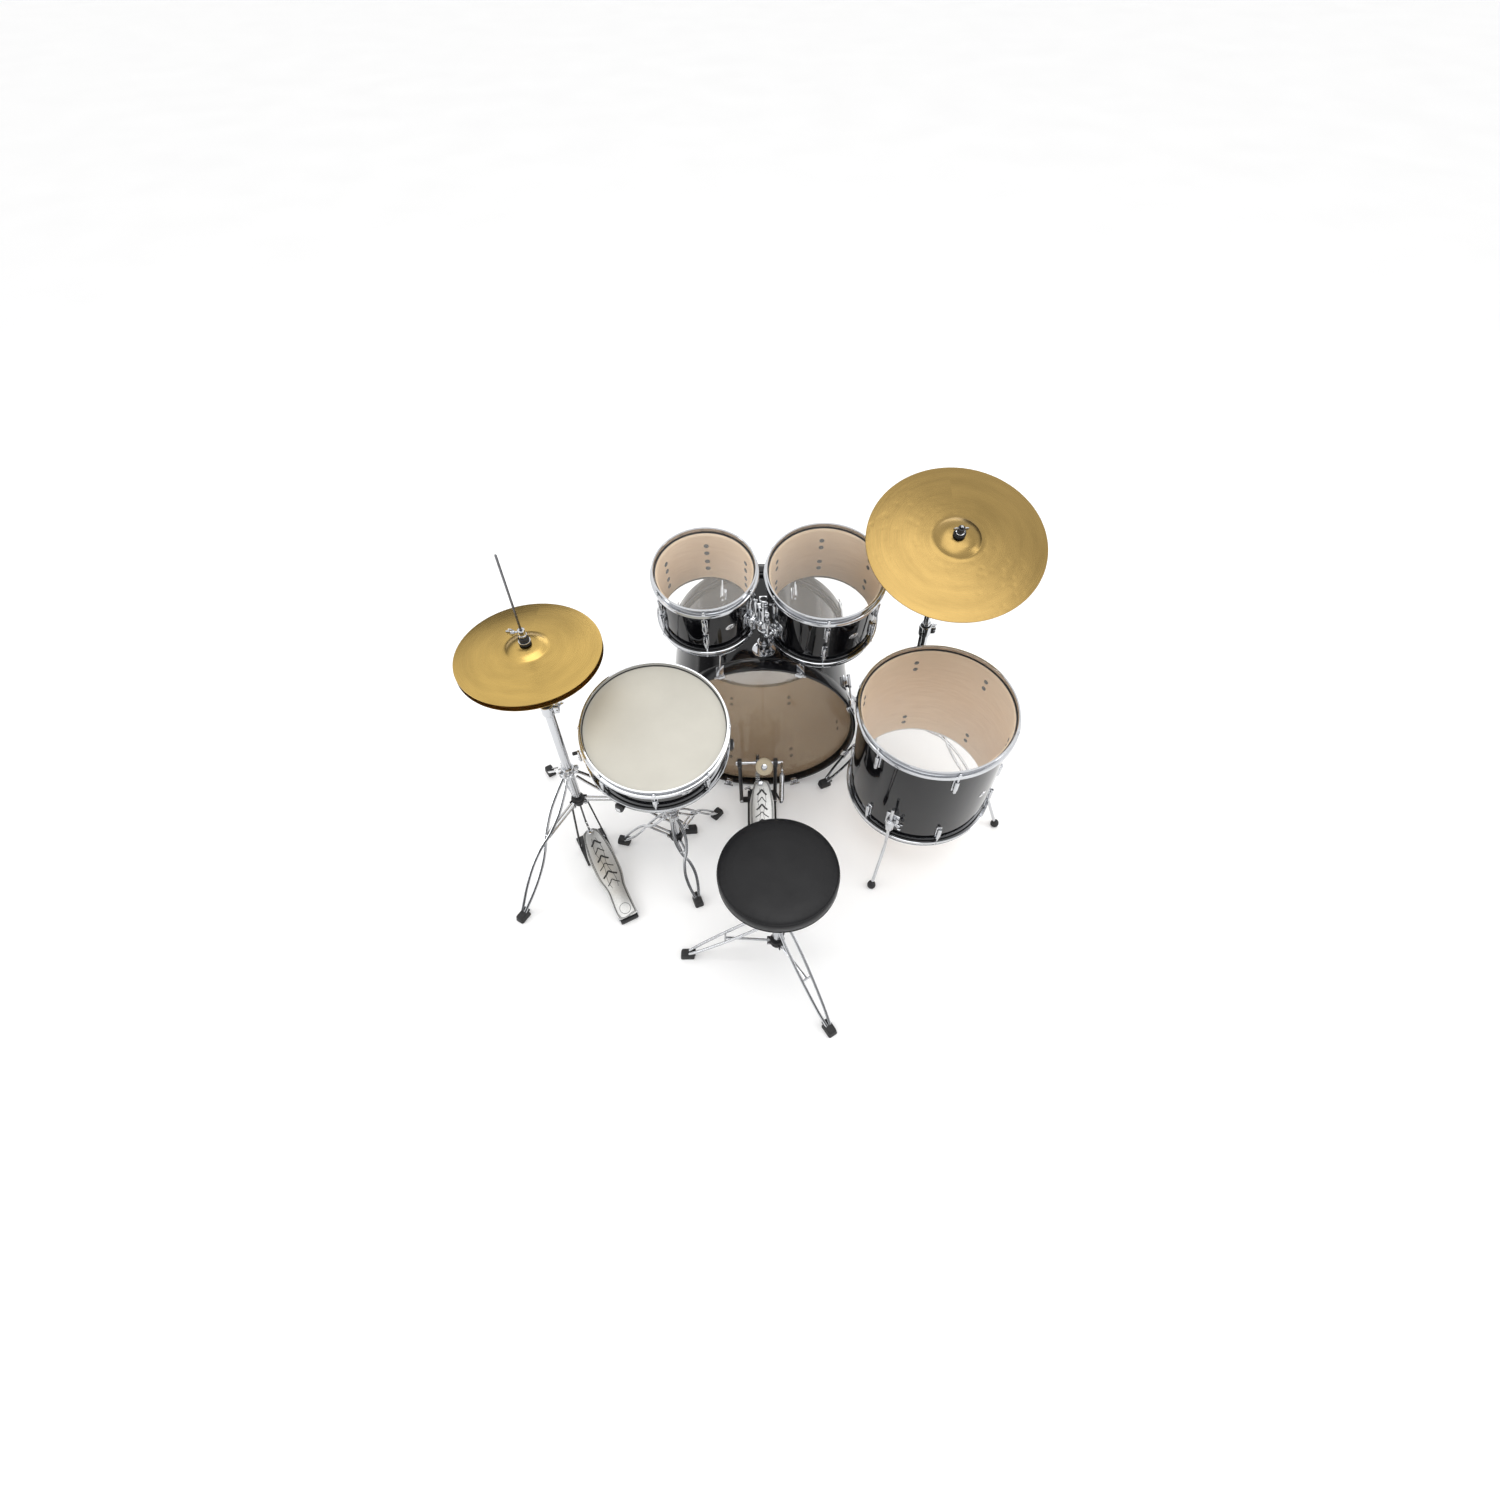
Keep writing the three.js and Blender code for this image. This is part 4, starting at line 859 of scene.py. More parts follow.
def take_collar(piece, tube, middle, high=24, metal=CHROME):
    piece.take(ring(tube - 0.4, tube + 5.5, middle - high / 2, middle + high / 2, 32, 2), metal)
    piece.take(ring(tube - 0.4, tube + 7.5, middle - 3, middle + 3, 32, 1), metal)


def take_tube_clamp(piece, tube, top):
    """The split clamp at a tube's top, with its wing screw."""
    piece.take(ring(tube - 2, tube + 5, top - 32, top, 32, 2), CHROME)
    piece.take(ring(tube - 3, tube + 2, top - 4, top + 1.5, 32, 0.8), RUBBER)
    for side in (-1, 1):
        piece.take(block((16, 5, 22), 2), CHROME, at(tube + 10, side * 4.2, top - 17))
    wing_screw(piece, at(tube + 13, -9, top - 17) @ turn(-90, "X"), 22, 10)


def add_tripod(node_name, slot, stand, top, place, bore, rods=False):
    base = Piece(node_name, slot, place)
    tube = stand["tube"]
    low = stand["stay"] - 21
    base.take(ring(bore, tube, low, top, 40), CHROME)
    if rods:
        edge = tube + 0.4
        plug = turned([(0, low - 1), (bore, low - 1), (edge, low), (edge, low + 12), (bore, low + 12)], 32)
    else:
        plug = ring(bore, tube + 0.6, low - 1, low + 10, 32, 0.8)
    base.take(plug, RUBBER)
    take_collar(base, tube, stand["collar"])
    take_collar(base, tube, stand["stay"], 22, BLACK_PAINT)
    take_tube_clamp(base, tube, top)
    wing_screw(base, turn(stand["angles"][0] + 60) @ at(tube + 3, 0, stand["collar"]) @ turn(90, "Y"), 8, 9)
    pin_x = stand["reach"] * 0.44 * (1.25 if rods else 1)
    pins = [(tube + 12, 13, stand["collar"]), (tube + 9, 10.5, stand["stay"]),
            (pin_x, 11, leg_height(stand, pin_x))]
    for angle in stand["angles"]:
        spot = turn(angle)
        for side in (-1, 1):
            if rods:
                base.take(swept(leg_path(stand, ROD_LINE, side, 0), 4.4, sides=12), CHROME, spot)
            else:
                path = leg_path(stand, STRAP_LINE, side, side * 1.9)
                base.take(swept(path, 9.5, 6, across=(0, 1, 0), ease=2.4), CHROME, spot)
            base.take(block((14, 4, 16), 1.6), CHROME, spot @ at(tube + 9, side * 9, stand["collar"]))
            if not rods:
                stay = [(tube + 5, side * 6, stand["stay"]), (pin_x, side * 6, pins[2][2] - 3)]
                base.take(swept(stay, 7.5, 4.4, across=(0, 1, 0), ease=1.8), CHROME, spot)
            ear = at(tube + 8, side * 8.4, stand["stay"])
            base.take(block((12, 3.4, 13), 1.3), BLACK_PAINT, spot @ ear)
        if rods:
            stay = [(tube + 5, 0, stand["stay"]), (pin_x, 0, pins[2][2] - 2)]
            base.take(rod(*stay, 4, 14), CHROME, spot)
        for x, wide, z in pins:
            base.take(rod((x, -wide, z), (x, wide, z), 2.6, 14, 0.8), CHROME, spot)
        foot = block((42, 29, 24), 5, 0.8, 3)
        base.take(foot, RUBBER, spot @ at(stand["reach"] - 4, 0, 11.6))
        base.take(block((16, 22, 6), 2), RUBBER, spot @ at(stand["reach"] - 20, 0, 21))
    base.done()


# ------------------------------------------------------------------ cymbals

def cymbal(shape, material_side=1):
    radius, bow, bell, hole = shape["radius"], shape["bow"], shape["bell"], shape["hole"]
    under = []
    for step in range(17):
        reach = radius + (bell - radius) * step / 16
        under.append((reach, bow * (1 - (reach / radius) ** 2)))
    shoulder = under[-1][1]
    for step in range(1, 13):
        t = 1 - step / 12
        under.append((hole + (bell - hole) * t, shoulder + shape["bell_high"] * (1 - t ** 2.5)))
    over = [(reach, z + shape["thick"]) for reach, z in reversed(under)]
    over[-1] = (radius - 0.5, over[-1][1])
    part = turned([(r, material_side * z) for r, z in under + over], 128, True)
    layer = part.loops.layers.uv.active
    for face in part.faces:
        middle = face.calc_center_median()
        about = math.atan2(middle.x, -middle.y)
        for loop in face.loops:
            here = loop.vert.co
            angle = math.atan2(here.x, -here.y)
            angle += math.tau * round((about - angle) / math.tau)
            loop[layer].uv = (angle / math.tau, math.hypot(here.x, here.y) / 1000)
    return part


def cymbal_high(shape):
    return shape["bow"] * (1 - (shape["bell"] / shape["radius"]) ** 2) + shape["bell_high"] + shape["thick"]


# ------------------------------------------------------------------ hi-hat

def add_hihat():
    place = stand_place("hihat_pull_rod")
    lower_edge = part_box("hihat_lower_cymbal")[1].z * 1000
    upper_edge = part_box("hihat_upper_cymbal")[0].z * 1000
    rod_low, rod_high = (corner.z * 1000 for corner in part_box("hihat_pull_rod"))
    seat = lower_edge - cymbal_high(HAT)
    add_tripod("hihat_base", "chrome", HIHAT_STAND, 640, place, 10.5)

    tube = Piece("hihat_tube", "chrome", place)
    tube.take(ring(5, 9.5, 552, seat - 14, 36), CHROME)
    cup = [(5, seat - 16), (13, seat - 16), (22, seat - 9), (22, seat - 7), (5, seat - 7)]
    tube.take(turned(cup, 40, True, 1), CHROME)
    tube.take(ring(5, 19, seat - 7, seat - 0.6, 40, 1.6), BLACK_FELT)
    tube.take(ring(9.3, 13, 700, 708, 32, 1), CHROME)
    tube.done()

    pull = Piece("hihat_pull_rod", "dark_steel", place)
    pull.take(rod((0, 0, rod_low), (0, 0, rod_high), 2.9, 20, 1.4), DARK_STEEL)
    pull.done()

    lower = Piece("hihat_lower_cymbal", "cymbal_brass", place)
    lower.take(cymbal(HAT, -1), HAT_BRASS, at(0, 0, lower_edge))
    lower.done(50)
    upper = Piece("hihat_upper_cymbal", "cymbal_brass", place)
    upper.take(cymbal(HAT), HAT_BRASS, at(0, 0, upper_edge))
    upper.done(50)

    bell = upper_edge + cymbal_high(HAT)
    clutch = Piece("hihat_clutch", "chrome", place)
    clutch.take(ring(3.5, 14.6, bell - 14.6, bell - 4, 36, 2), BLACK_FELT)
    clutch.take(ring(3.5, 6.1, bell - 14, bell + 20, 24, 0.4), CHROME)
    clutch.take(ring(6, 15, bell + 1, bell + 8, 36, 2.2), BLACK_FELT)
    clutch.take(ring(6, 15, bell + 8.4, bell + 11, 36, 0.8), CHROME)
    clutch.take(ring(6, 12.5, bell + 11, bell + 21, 24, 2), RUBBER)
    clutch.take(ring(3.4, 9, bell + 19, bell + 44, 36, 1.6), CHROME)
    clutch.take(ring(3.4, 10.8, bell + 26, bell + 30, 36, 0.8), CHROME)
    wing_screw(clutch, at(-6, 0, bell + 36) @ turn(-90, "Y"), 10, 9, 3)
    clutch.take(block((13, 3.2, 12), 1.4), CHROME, at(-30, 0, bell + 36))
    clutch.done()
    add_hihat_pedal(place @ turn(HIHAT_PEDAL_TURN), rod_low)


def board_outline(length, toe, middle, heel, inset):
    scale = 1 - inset / middle
    heel_end = -12 + inset
    half = [
        (heel, heel_end), (heel, length * 0.28), (middle, length * 0.45),
        (middle, length * 0.72), (toe, length - inset),
    ]
    right = [(x * scale, y) for x, y in half]
    return right + [(-x, y) for x, y in reversed(right)]


def take_footboard(piece, length, toe, middle, heel):
    """The board, its ribs, its hinge, and plain raised line work."""
    part = fresh()
    corners = [part.verts.new((x, y, 0)) for x, y in board_outline(length, toe, middle, heel, 0)]
    part.faces.new(corners)
    bmesh.ops.bevel(
        part, geom=list(part.verts), offset=9, offset_type="OFFSET", affect="VERTICES",
        segments=4, profile=0.5, material=-1, clamp_overlap=True,
    )
    grown = bmesh.ops.extrude_face_region(part, geom=list(part.faces))["geom"]
    top = [item for item in grown if isinstance(item, bmesh.types.BMVert)]
    bmesh.ops.translate(part, vec=(0, 0, 4), verts=top)
    bmesh.ops.recalc_face_normals(part, faces=part.faces)
    edges = [edge for edge in part.edges if edge.calc_face_angle(0) > 1.0]
    bmesh.ops.bevel(
        part, geom=edges, offset=0.9, offset_type="OFFSET", affect="EDGES",
        segments=2, profile=0.5, material=-1, clamp_overlap=True,
    )
    piece.take(part, BOARD_METAL)
    piece.take(rod((-heel, 0, -1), (heel, 0, -1), 4.6, 20, 1), CHROME)
    for side in (-1, 1):
        piece.take(block((3, length * 0.8, 7), 1), BLACK_PAINT, at(side * heel * 0.62, length * 0.52, -3))
    high = 4.0
    for inset in (5.5, 8.5):
        edge = board_outline(length, toe, middle, heel, inset)
        path = smooth_path([(x, y, high) for x, y in edge + edge[:1]], 5)
        piece.take(swept(path, 0.9, sides=6), LINE_INK)
    about = np.linspace(0, math.tau, 25)
    heel_oval = [(heel * 0.55 * math.cos(t), 16 + 17 * math.sin(t), high) for t in about]
    piece.take(swept(heel_oval, 0.8, sides=6), LINE_INK)
    for step in range(6):
        y = length * (0.34 + 0.095 * step)
        wide = middle * (0.46 + 0.10 * math.sin(step * 1.1))
        chevron = smooth_path([(-wide, y, high), (-wide * 0.4, y + 9, high), (0, y + 17, high),
                               (wide * 0.4, y + 9, high), (wide, y, high)], 4)
        piece.take(swept(chevron, 5.5 if step % 2 else 3, 1.0, across=(0, 1, 0)), LINE_INK)
    for side in (-1, 1):
        wave = [(side * (9 + 4 * math.sin(t * 3.3)), length * (0.30 + 0.60 * t / math.pi), high)
                for t in np.linspace(0, math.pi, 22)]
        piece.take(swept(wave, 0.7, sides=6), LINE_INK)


def board_place(heel, toe):
    slope = math.degrees(math.atan2(toe[1] - heel[1], toe[0] - heel[0]))
    return at(0, heel[0], heel[1]) @ turn(slope, "X"), math.hypot(toe[0] - heel[0], toe[1] - heel[1])


def take_chain(piece, start, end, links, metal):
    """Flat links, each turned a quarter from the next."""
    way = aimed(start, end)
    step = (Vector(end) - Vector(start)).length / links
    for count in range(links):
        spot = way @ at(0, 0, step * (count + 0.5)) @ turn(90 * (count % 2))
        for side in (-1, 1):
            piece.take(block((5, 1.3, step * 1.25), 0.5), metal, spot @ at(0, side * 2.4, 0))
        piece.take(rod((0, -3.6, step / 2), (0, 3.6, step / 2), 1.4, 8), metal, spot)


def add_hihat_pedal(place, rod_low):
    base = Piece("hihat_pedal_frame", "black_metal", place)
    base.take(block((91, 117, 7), 3, segments=3), BLACK_PAINT, at(0, -38, 3.6))
    base.take(block((60, 78, 3), 1.2), RUBBER, at(0, -42, 8))
    base.take(block((21, 249, 5), 1.4), BLACK_PAINT, at(0, -205, 2.6))
    base.take(block((55, 33, 13), 3.4, segments=3), BLACK_PAINT, at(0, -320, 6.8))
    for side in (-1, 1):
        foot, head = Vector((side * 43, -20, 10)), Vector((side * 25, 0, 190))
        base.take(swept([foot, head], 5, 11, across=(1, 0, 0), ease=0.9), BLACK_PAINT)
        base.take(rod(foot - Vector((side * 5, 0, -2)), foot + Vector((side * 4, 0, 2)), 5, 18, 1), CHROME)
        base.take(rod(head - Vector((side * 12, 0, 0)), head + Vector((side * 4, 0, 0)), 4.4, 18, 1), CHROME)
        base.take(rod((side * 24, -320, 9), (side * 31, -320, 9), 5, 18, 1), CHROME)
    base.done()
    spot, length = board_place((-318, 22), (-26, 78))
    board = Piece("hihat_footboard", "grey_metal", place @ moved_to_metres(spot))
    take_footboard(board, length, 23, 40, 29)
    board.take(block((18, 16, 7), 2), CHROME, at(0, length - 6, 6))
    board.done()
    links = Piece("hihat_footboard", "black_metal", place, "chain")
    take_chain(links, (0, -27, 86), (0, -1, rod_low + 3), 4, BLACK_PAINT)
    links.done()


def moved_to_metres(spot):
    """A place given in millimetres, as a place in metres."""
    made = spot.copy()
    made.translation = spot.translation / 1000
    return made


# ------------------------------------------------------------------ crash cymbal

def add_crash():
    stand = stand_place("crash_tube")
    origin, down = round_place("crash_cymbal", (0, 0, -1), 0)
    axis = facing(origin, -down)
    add_tripod("crash_base", "chrome", CRASH_STAND, 600, stand, 10.5)
    tube = Piece("crash_tube", "chrome", stand)
    tube.take(rod((0, 0, 480), (0, 0, 836), 9.4, 36, 1), CHROME)
    tube.take(ring(9.2, 14.4, 816, 836, 36, 2), CHROME)
    tube.take(ring(9.2, 13, 604, 612, 32, 1), CHROME)
    pivot = (stand @ MM).inverted() @ axis @ MM @ Vector((0, 0, -70))
    ear = pivot - Vector((0, 0, 29))
    tube.take(swept([(0, 0, 828), ear], 11, 11, across=(0, 0, 1), ease=2), CHROME)
    tube.take(block((12, 20, 14), 3), CHROME, at(*ear) @ at(0, 0, 4))
    wing_screw(tube, at(0, 12, 826) @ turn(-90, "X"), 8, 9)
    tube.done()

    seat = cymbal_high(CRASH) - CRASH["thick"]
    tilter = Piece("crash_tilter", "chrome", axis)
    tilter.take(block((23, 17, 23), 4, segments=3), CHROME, at(0, 0, -70))
    tilter.take(moved(ring(3, 11.4, -10, 10, 28, 1.2), turn(90, "Y")), CHROME, at(0, 0, -70))
    for count in range(14):
        tooth = turn(360 / 14 * count, "X") @ at(10, 0, 11)
        tilter.take(block((3, 1.8, 1.6), 0.4), CHROME, at(0, 0, -70) @ tooth)
    tilter.take(rod((0, 0, -62), (0, 0, 62 + seat - 26), 3.9, 20, 1), CHROME)
    tilter.take(ring(3.8, 7, -58, -44, 24, 1), CHROME)
    cup = [(3.8, seat - 16), (9, seat - 16), (17.5, seat - 12), (17.5, seat - 10), (3.8, seat - 10)]
    tilter.take(turned(cup, 32, True, 0.8), CHROME)
    tilter.take(ring(3.8, 17, seat - 10, seat - 2.7, 32, 1.8), BLACK_FELT)
    tilter.done()
    plate = Piece("crash_cymbal", "cymbal_brass", axis)
    plate.take(cymbal(CRASH), SHADED_CRASH_BRASS)
    plate.done(50)
    above = seat + CRASH["thick"] + 1.5
    nut = Piece("crash_wing_nut", "black_rubber", axis)
    nut.take(ring(4.6, 15.8, above, above + 9, 32, 2.2), BLACK_FELT)
    nut.take(ring(4.6, 12, above + 9, above + 13, 28, 0.8), CHROME)
    nut.take(ring(4.6, 9, above + 12.6, above + 27, 24, 1.6), RUBBER)
    for side in (-1, 1):
        nut.take(pebble((15, 4, 14), 14, 10), CHROME, at(side * 12.5, 0, above + 22) @ turn(side * -20, "Y"))
    nut.done()


# ------------------------------------------------------------------ snare drum and stand

def add_snare():
    stand = stand_place("snare_stand_tube")
    add_tripod("snare_stand_base", "chrome", SNARE_STAND, 330, stand, 10.5)
    tube = Piece("snare_stand_tube", "chrome", stand)
    tube.take(rod((0, 0, 211), (0, 0, 473), 9.4, 36, 1), CHROME)
    tube.take(ring(9.2, 14.4, 449, 473, 36, 2), CHROME)
    tube.done()

    place = drum_place("snare")
    radius, height = SNARE_DRUM["radius"], SNARE_DRUM["height"]
    low = -height
    hub = low - 44
    tip = radius + 11.5
    basket = Piece("snare_basket", "chrome", place)
    boss = [(0, hub - 14), (12, hub - 14), (16, hub - 8), (16, hub + 6), (11, hub + 10), (0, hub + 10)]
    basket.take(turned(boss, 36, ease=1.2), CHROME)
    basket.take(ring(8, 15.5, hub - 10, hub - 4, 12, 0.8), BLACK_PAINT)
    arm = [(12, 0, hub), (60, 0, hub + 6), (125, 0, low - 20),
           (tip - 22, 0, low - 8.5), (tip + 2, 0, low - 6.5)]
    for angle in BASKET_ANGLES:
        spot = turn(angle)
        basket.take(swept(smooth_path(arm, 5), 12, 4.4, across=(0, 1, 0), ease=1), CHROME, spot)
        basket.take(block((30, 21, 7), 2.4), RUBBER, spot @ at(tip - 6, 0, low - 4.6))
        basket.take(block((11, 21, 32), 3.4, 0.8, 3), RUBBER, spot @ at(tip + 6, 0, low + 9))
        basket.take(block((4, 13, 20), 1.4), CHROME, spot @ at(tip + 10.5, 0, low + 1))
    basket.done()

    shell = Piece("snare_shell", "black_lacquer", place)
    take_shell(shell, SNARE_DRUM, True)
    take_vent(shell, SNARE_DRUM, -62, -height / 2 + 6)
    spot = round_at(STRAINER_ANGLE, radius - 1, -65)
    shell.take(block((4, 34, 56), 1.6), CHROME, spot @ at(2, 0, 0))
    shell.take(block((13, 26, 44), 3.5, segments=3), GOLD_PLATE, spot @ at(8, 0, -2))
    shell.take(rod((9, 0, 18), (9, 0, 30), 6.4, 20, 1), CHROME, spot)
    spot = round_at(STRAINER_ANGLE - 180, radius - 1, -65)
    shell.take(block((4, 30, 28), 1.6), CHROME, spot @ at(2, 0, 0))
    shell.take(block((11, 24, 20), 3, segments=3), CHROME, spot @ at(7, 0, 0))
    for side in (-1, 1):
        shell.take(rod((10, side * 6, 0), (15, side * 6, 0), 2.4, 12, 0.6), DARK_STEEL, spot)
    shell.done()
    add_hoops_and_heads("snare", SNARE_DRUM, place, COATED_FILM, CLEAR_FILM, "coated_head")

    lever = Piece("snare_throw_lever", "grey_metal", place)
    spot = round_at(STRAINER_ANGLE, radius + 19, -65)
    lever.take(block((7, 13, 45), 2.6, 0.9, 3), CHROME, spot @ at(0.5, 0, 0))
    lever.take(block((16, 9, 7), 2.6, segments=3), RUBBER, spot @ at(8, 0, 18))
    lever.take(rod((-3, 0, -14), (6, 0, -14), 4.4, 18, 1), CHROME, spot)
    lever.done()

    wires = Piece("snare_wires", "steel_wire", place)
    bed = turn(STRAINER_ANGLE) @ at(0, 0, low + 10)
    reach = radius - 21
    for side in (-1, 1):
        wires.take(block((14, 45, 1.8), 0.6), CHROME, bed @ at(side * (reach - 7), 0, 0))
    for count in range(14):
        y = (count - 6.5) * 3.1
        wires.take(rod((-reach + 8, y, 0), (reach - 8, y, 0), 0.8, 8, 0.1), WIRE_STEEL, bed)
    wires.done()


# ------------------------------------------------------------------ bass drum pedal

AXLE = (90, 215)  # y and z of the line the beater swings on
SPRING = (64, 60)  # x and y of the upright return spring
BEATER_LEAN = 42


def add_bass_pedal():
    base = Piece("bass_pedal_frame", "black_metal")
    base.take(block((95, 275, 5.6), 2.4, segments=3), BLACK_PAINT, at(0, 0, 3))
    base.take(block((70, 170, 2), 0.8), RUBBER, at(0, -20, 6.4))
    for count in range(7):
        base.take(block((60, 4, 1.4), 0.5), RUBBER, at(0, -80 + 20 * count, 7.6))
    base.take(block((123, 22, 6), 2), BLACK_PAINT, at(-12, 100, 3.1))
    base.take(block((59, 29, 13), 3.4, segments=3), BLACK_PAINT, at(0, -150, 6.8))
    base.take(block((32, 34, 2.4), 0.8), CHROME, at(0, 150, 1.3))
    base.take(rod((-30, 128, 14), (-46, 122, 40), 3, 14), CHROME)
    base.take(rod((-57, 116, 41), (-37, 126, 41), 3.4, 14, 1.4), CHROME)
    base.take(block((22, 20, 12), 3), BLACK_PAINT, at(-28, 128, 8))
    for x in (-68, 44):
        column = [(x, 104, 4), (x, 101, 70), (x, 98, 140), (x, 92, 204)]
        base.take(swept(smooth_path(column, 4), 11.5, 20, across=(1, 0, 0), ease=3), BLACK_PAINT)
        base.take(moved(ring(6.2, 15, -7, 7, 32, 1.6), turn(90, "Y")), BLACK_PAINT, at(x, *AXLE))
        base.take(moved(ring(6.1, 9.5, -7.6, 7.6, 28, 0.8), turn(90, "Y")), CHROME, at(x, *AXLE))
        base.take(block((13, 24, 5), 1.6), CHROME, at(x, 101, 8))
    for side in (-1, 1):
        base.take(rod((side * 24, -150, 24), (side * 31, -150, 24), 5, 18, 1), CHROME)
        base.take(block((4, 22, 18), 1.4), BLACK_PAINT, at(side * 30.5, -150, 18))
    base.done()

    spot, length = board_place((-148, 24), (84, 128))
    board = Piece("bass_footboard", "grey_metal", moved_to_metres(spot))
    take_footboard(board, length, 22, 39, 29)
    board.take(block((20, 16, 7), 2), CHROME, at(-6, length - 8, 6))
    board.done()
    links = Piece("bass_footboard", "chrome", HERE, "chain")
    for x in (-15, -9):
        take_chain(links, (x, 76, 134), (x, 63, 206), 9, CHROME)
    links.done()

    lean = math.radians(BEATER_LEAN)
    up = Vector((0, -math.sin(lean), math.cos(lean)))
    hub = Vector((8, *AXLE))
    axle = Piece("bass_pedal_axle", "dark_steel")
    axle.take(rod((-78, *AXLE), (68, *AXLE), 5, 24, 1), CHROME)
    cam = [(5, -3), (22, -3), (27.5, -5), (27.5, -3.4), (24, -1.4),
           (24, 1.4), (27.5, 3.4), (27.5, 5), (22, 3), (5, 3)]
    axle.take(moved(turned(cam, 48, True, 0.4), turn(90, "Y")), DARK_STEEL, at(-12, *AXLE))
    axle.take(block((16, 22, 22), 4, segments=3), CHROME, at(8, *AXLE) @ turn(BEATER_LEAN, "X"))
    axle.take(rod(hub + Vector((0, -6, -6)), hub + Vector((0, -16, -15)), 2.6, 12), DARK_STEEL)
    axle.take(block((7.6, 40, 9), 3, segments=3), CHROME, at(64, 76, 215))
    axle.take(rod((-80, *AXLE), (-74, *AXLE), 8, 20, 1), CHROME)
    axle.take(rod((*SPRING, 203), (*SPRING, 214), 2, 12), DARK_STEEL)
    axle.done()

    head = hub + up * 180
    beater = Piece("bass_beater", "felt")
    beater.take(rod(hub + up * 14, head + up * 24, 3.1, 18), CHROME)
    spot = aimed(head, head + up)
    felt = [(0, -21), (19, -21), (25, -14), (25, 14), (19, 21), (0, 21)]
    beater.take(turned(felt, 48, ease=4), PALE_FELT, spot)
    cap = [(0, 20.5), (9, 20.5), (9, 24), (5, 25), (0, 25)]
    beater.take(turned(cap, 28, ease=0.8), CHROME, spot)
    beater.take(ring(3, 8, -25, -20.6, 28, 0.8), CHROME, spot)
    beater.done()

    spring = Piece("bass_pedal_spring", "chrome")
    coil = fresh()
    start = at(7, 0, 0) @ turn(90, "X")
    bmesh.ops.create_circle(coil, cap_ends=True, radius=1.0, segments=6, matrix=start)
    turns, per_turn = 34, 14
    bmesh.ops.spin(
        coil, geom=list(coil.faces) + list(coil.edges) + list(coil.verts), cent=(0, 0, 0), axis=(0, 0, 1),
        dvec=(0, 0, 140 / turns / per_turn), angle=math.tau * turns, steps=turns * per_turn, use_merge=False,
    )
    bmesh.ops.recalc_face_normals(coil, faces=coil.faces)
    spring.take(coil, CHROME, at(*SPRING, 54))
    spring.take(rod((*SPRING, 40), (*SPRING, 56), 2.4, 14), CHROME)
    spring.take(rod((*SPRING, 190), (*SPRING, 206), 2, 14), CHROME)
    spring.take(ring(2, 6, 42, 48, 18, 0.8), CHROME, at(*SPRING, 0))
    spring.done()
    hanger = Piece("bass_pedal_frame", "black_metal", HERE, "spring_hanger")
    hook = smooth_path([(46, 98, 46), (52, 82, 46), (60, 66, 45)], 4)
    hanger.take(swept(hook, 9, 5, across=(0, 0, 1), ease=1.4), BLACK_PAINT)
    hanger.done()


# ------------------------------------------------------------------ throne

def add_throne():
    place = stand_place("throne_post")
    add_tripod("throne_base", "chrome", THRONE_STAND, 302, place, 12.5, rods=True)
    post = Piece("throne_post", "chrome", place)
    post.take(rod((0, 0, 131), (0, 0, 416), 11.9, 36, 1), CHROME)
    post.take(ring(11.8, 18, 306, 318, 36, 1.6), CHROME)
    post.done()
    pan = Piece("throne_seat_pan", "black_metal", place)
    pan.take(turned([(0, 418), (20, 418), (27, 422), (27, 442), (0, 442)], 36, ease=1.4), BLACK_PAINT)
    pan.take(turned([(0, 440), (84, 440), (87.6, 442), (87.6, 446.6), (0, 446.6)], 64, ease=0.8), BLACK_PAINT)
    for angle in (45, 135, 225, 315):
        pan.take(turned([(0, 436), (5, 436), (5, 440), (0, 440)], 6), CHROME, turn(angle) @ at(62, 0, 0))
    wing_screw(pan, at(20, 0, 430) @ turn(90, "Y"), 14, 11)
    pan.done()
    add_cushion(place)


CUSHION_TOP, CUSHION_SIDE = 470, 450  # the heights where the top and the side start


def cord_section(middle, radius):
    """The small round section of a cord that runs round the cushion."""
    about = np.linspace(0, math.tau, 9)[:-1]
    return [(middle[0] + radius * math.cos(t), middle[1] + radius * math.sin(t)) for t in about]


def add_cushion(place):
    """A tight round pad: crowned top, piped seam, puckers beside the seam."""
    profile = [
        (0, 447.6), (120, 447.6), (140, 448.4), (146.5, 451), (148.6, 456), (149.6, 464),
        (149.6, 474), (148.4, 480), (146.6, 483.2), (144, 485.4), (139, 488),
        (128, 491.2), (108, 494.4), (80, 496.8), (45, 498.2), (0, 498.7),
    ]
    pad = turned(eased(profile, 2.5), 160)
    for corner in pad.verts:
        reach = math.hypot(corner.co.x, corner.co.y)
        angle = math.atan2(corner.co.y, corner.co.x)
        near_seam = math.exp(-((reach - 140) / 9) ** 2) if corner.co.z > CUSHION_TOP else 0
        pucker = near_seam * 0.5 * (math.sin(angle * 46) + 0.6 * math.sin(angle * 71 + 1.3))
        soft = 0.7 * math.sin(angle * 3 + 0.7) * math.sin(min(reach, 120) / 38)
        if corner.co.z > CUSHION_TOP:
            corner.co.z += pucker + soft * 0.6 - 0.9
        elif corner.co.z > CUSHION_SIDE:
            pull = 1 - 0.0012 * (1 + math.sin(angle * 23))
            corner.co.x *= pull
            corner.co.y *= pull
    cushion = Piece("throne_cushion", "vinyl", place)
    cushion.take(pad, VINYL)
    for middle, radius in (((145.6, 483.6), 1.9), ((147, 451.2), 1.7)):
        cushion.take(turned(cord_section(middle, radius), 160, True), VINYL)
    cushion.done(60)


# ------------------------------------------------------------------ the room

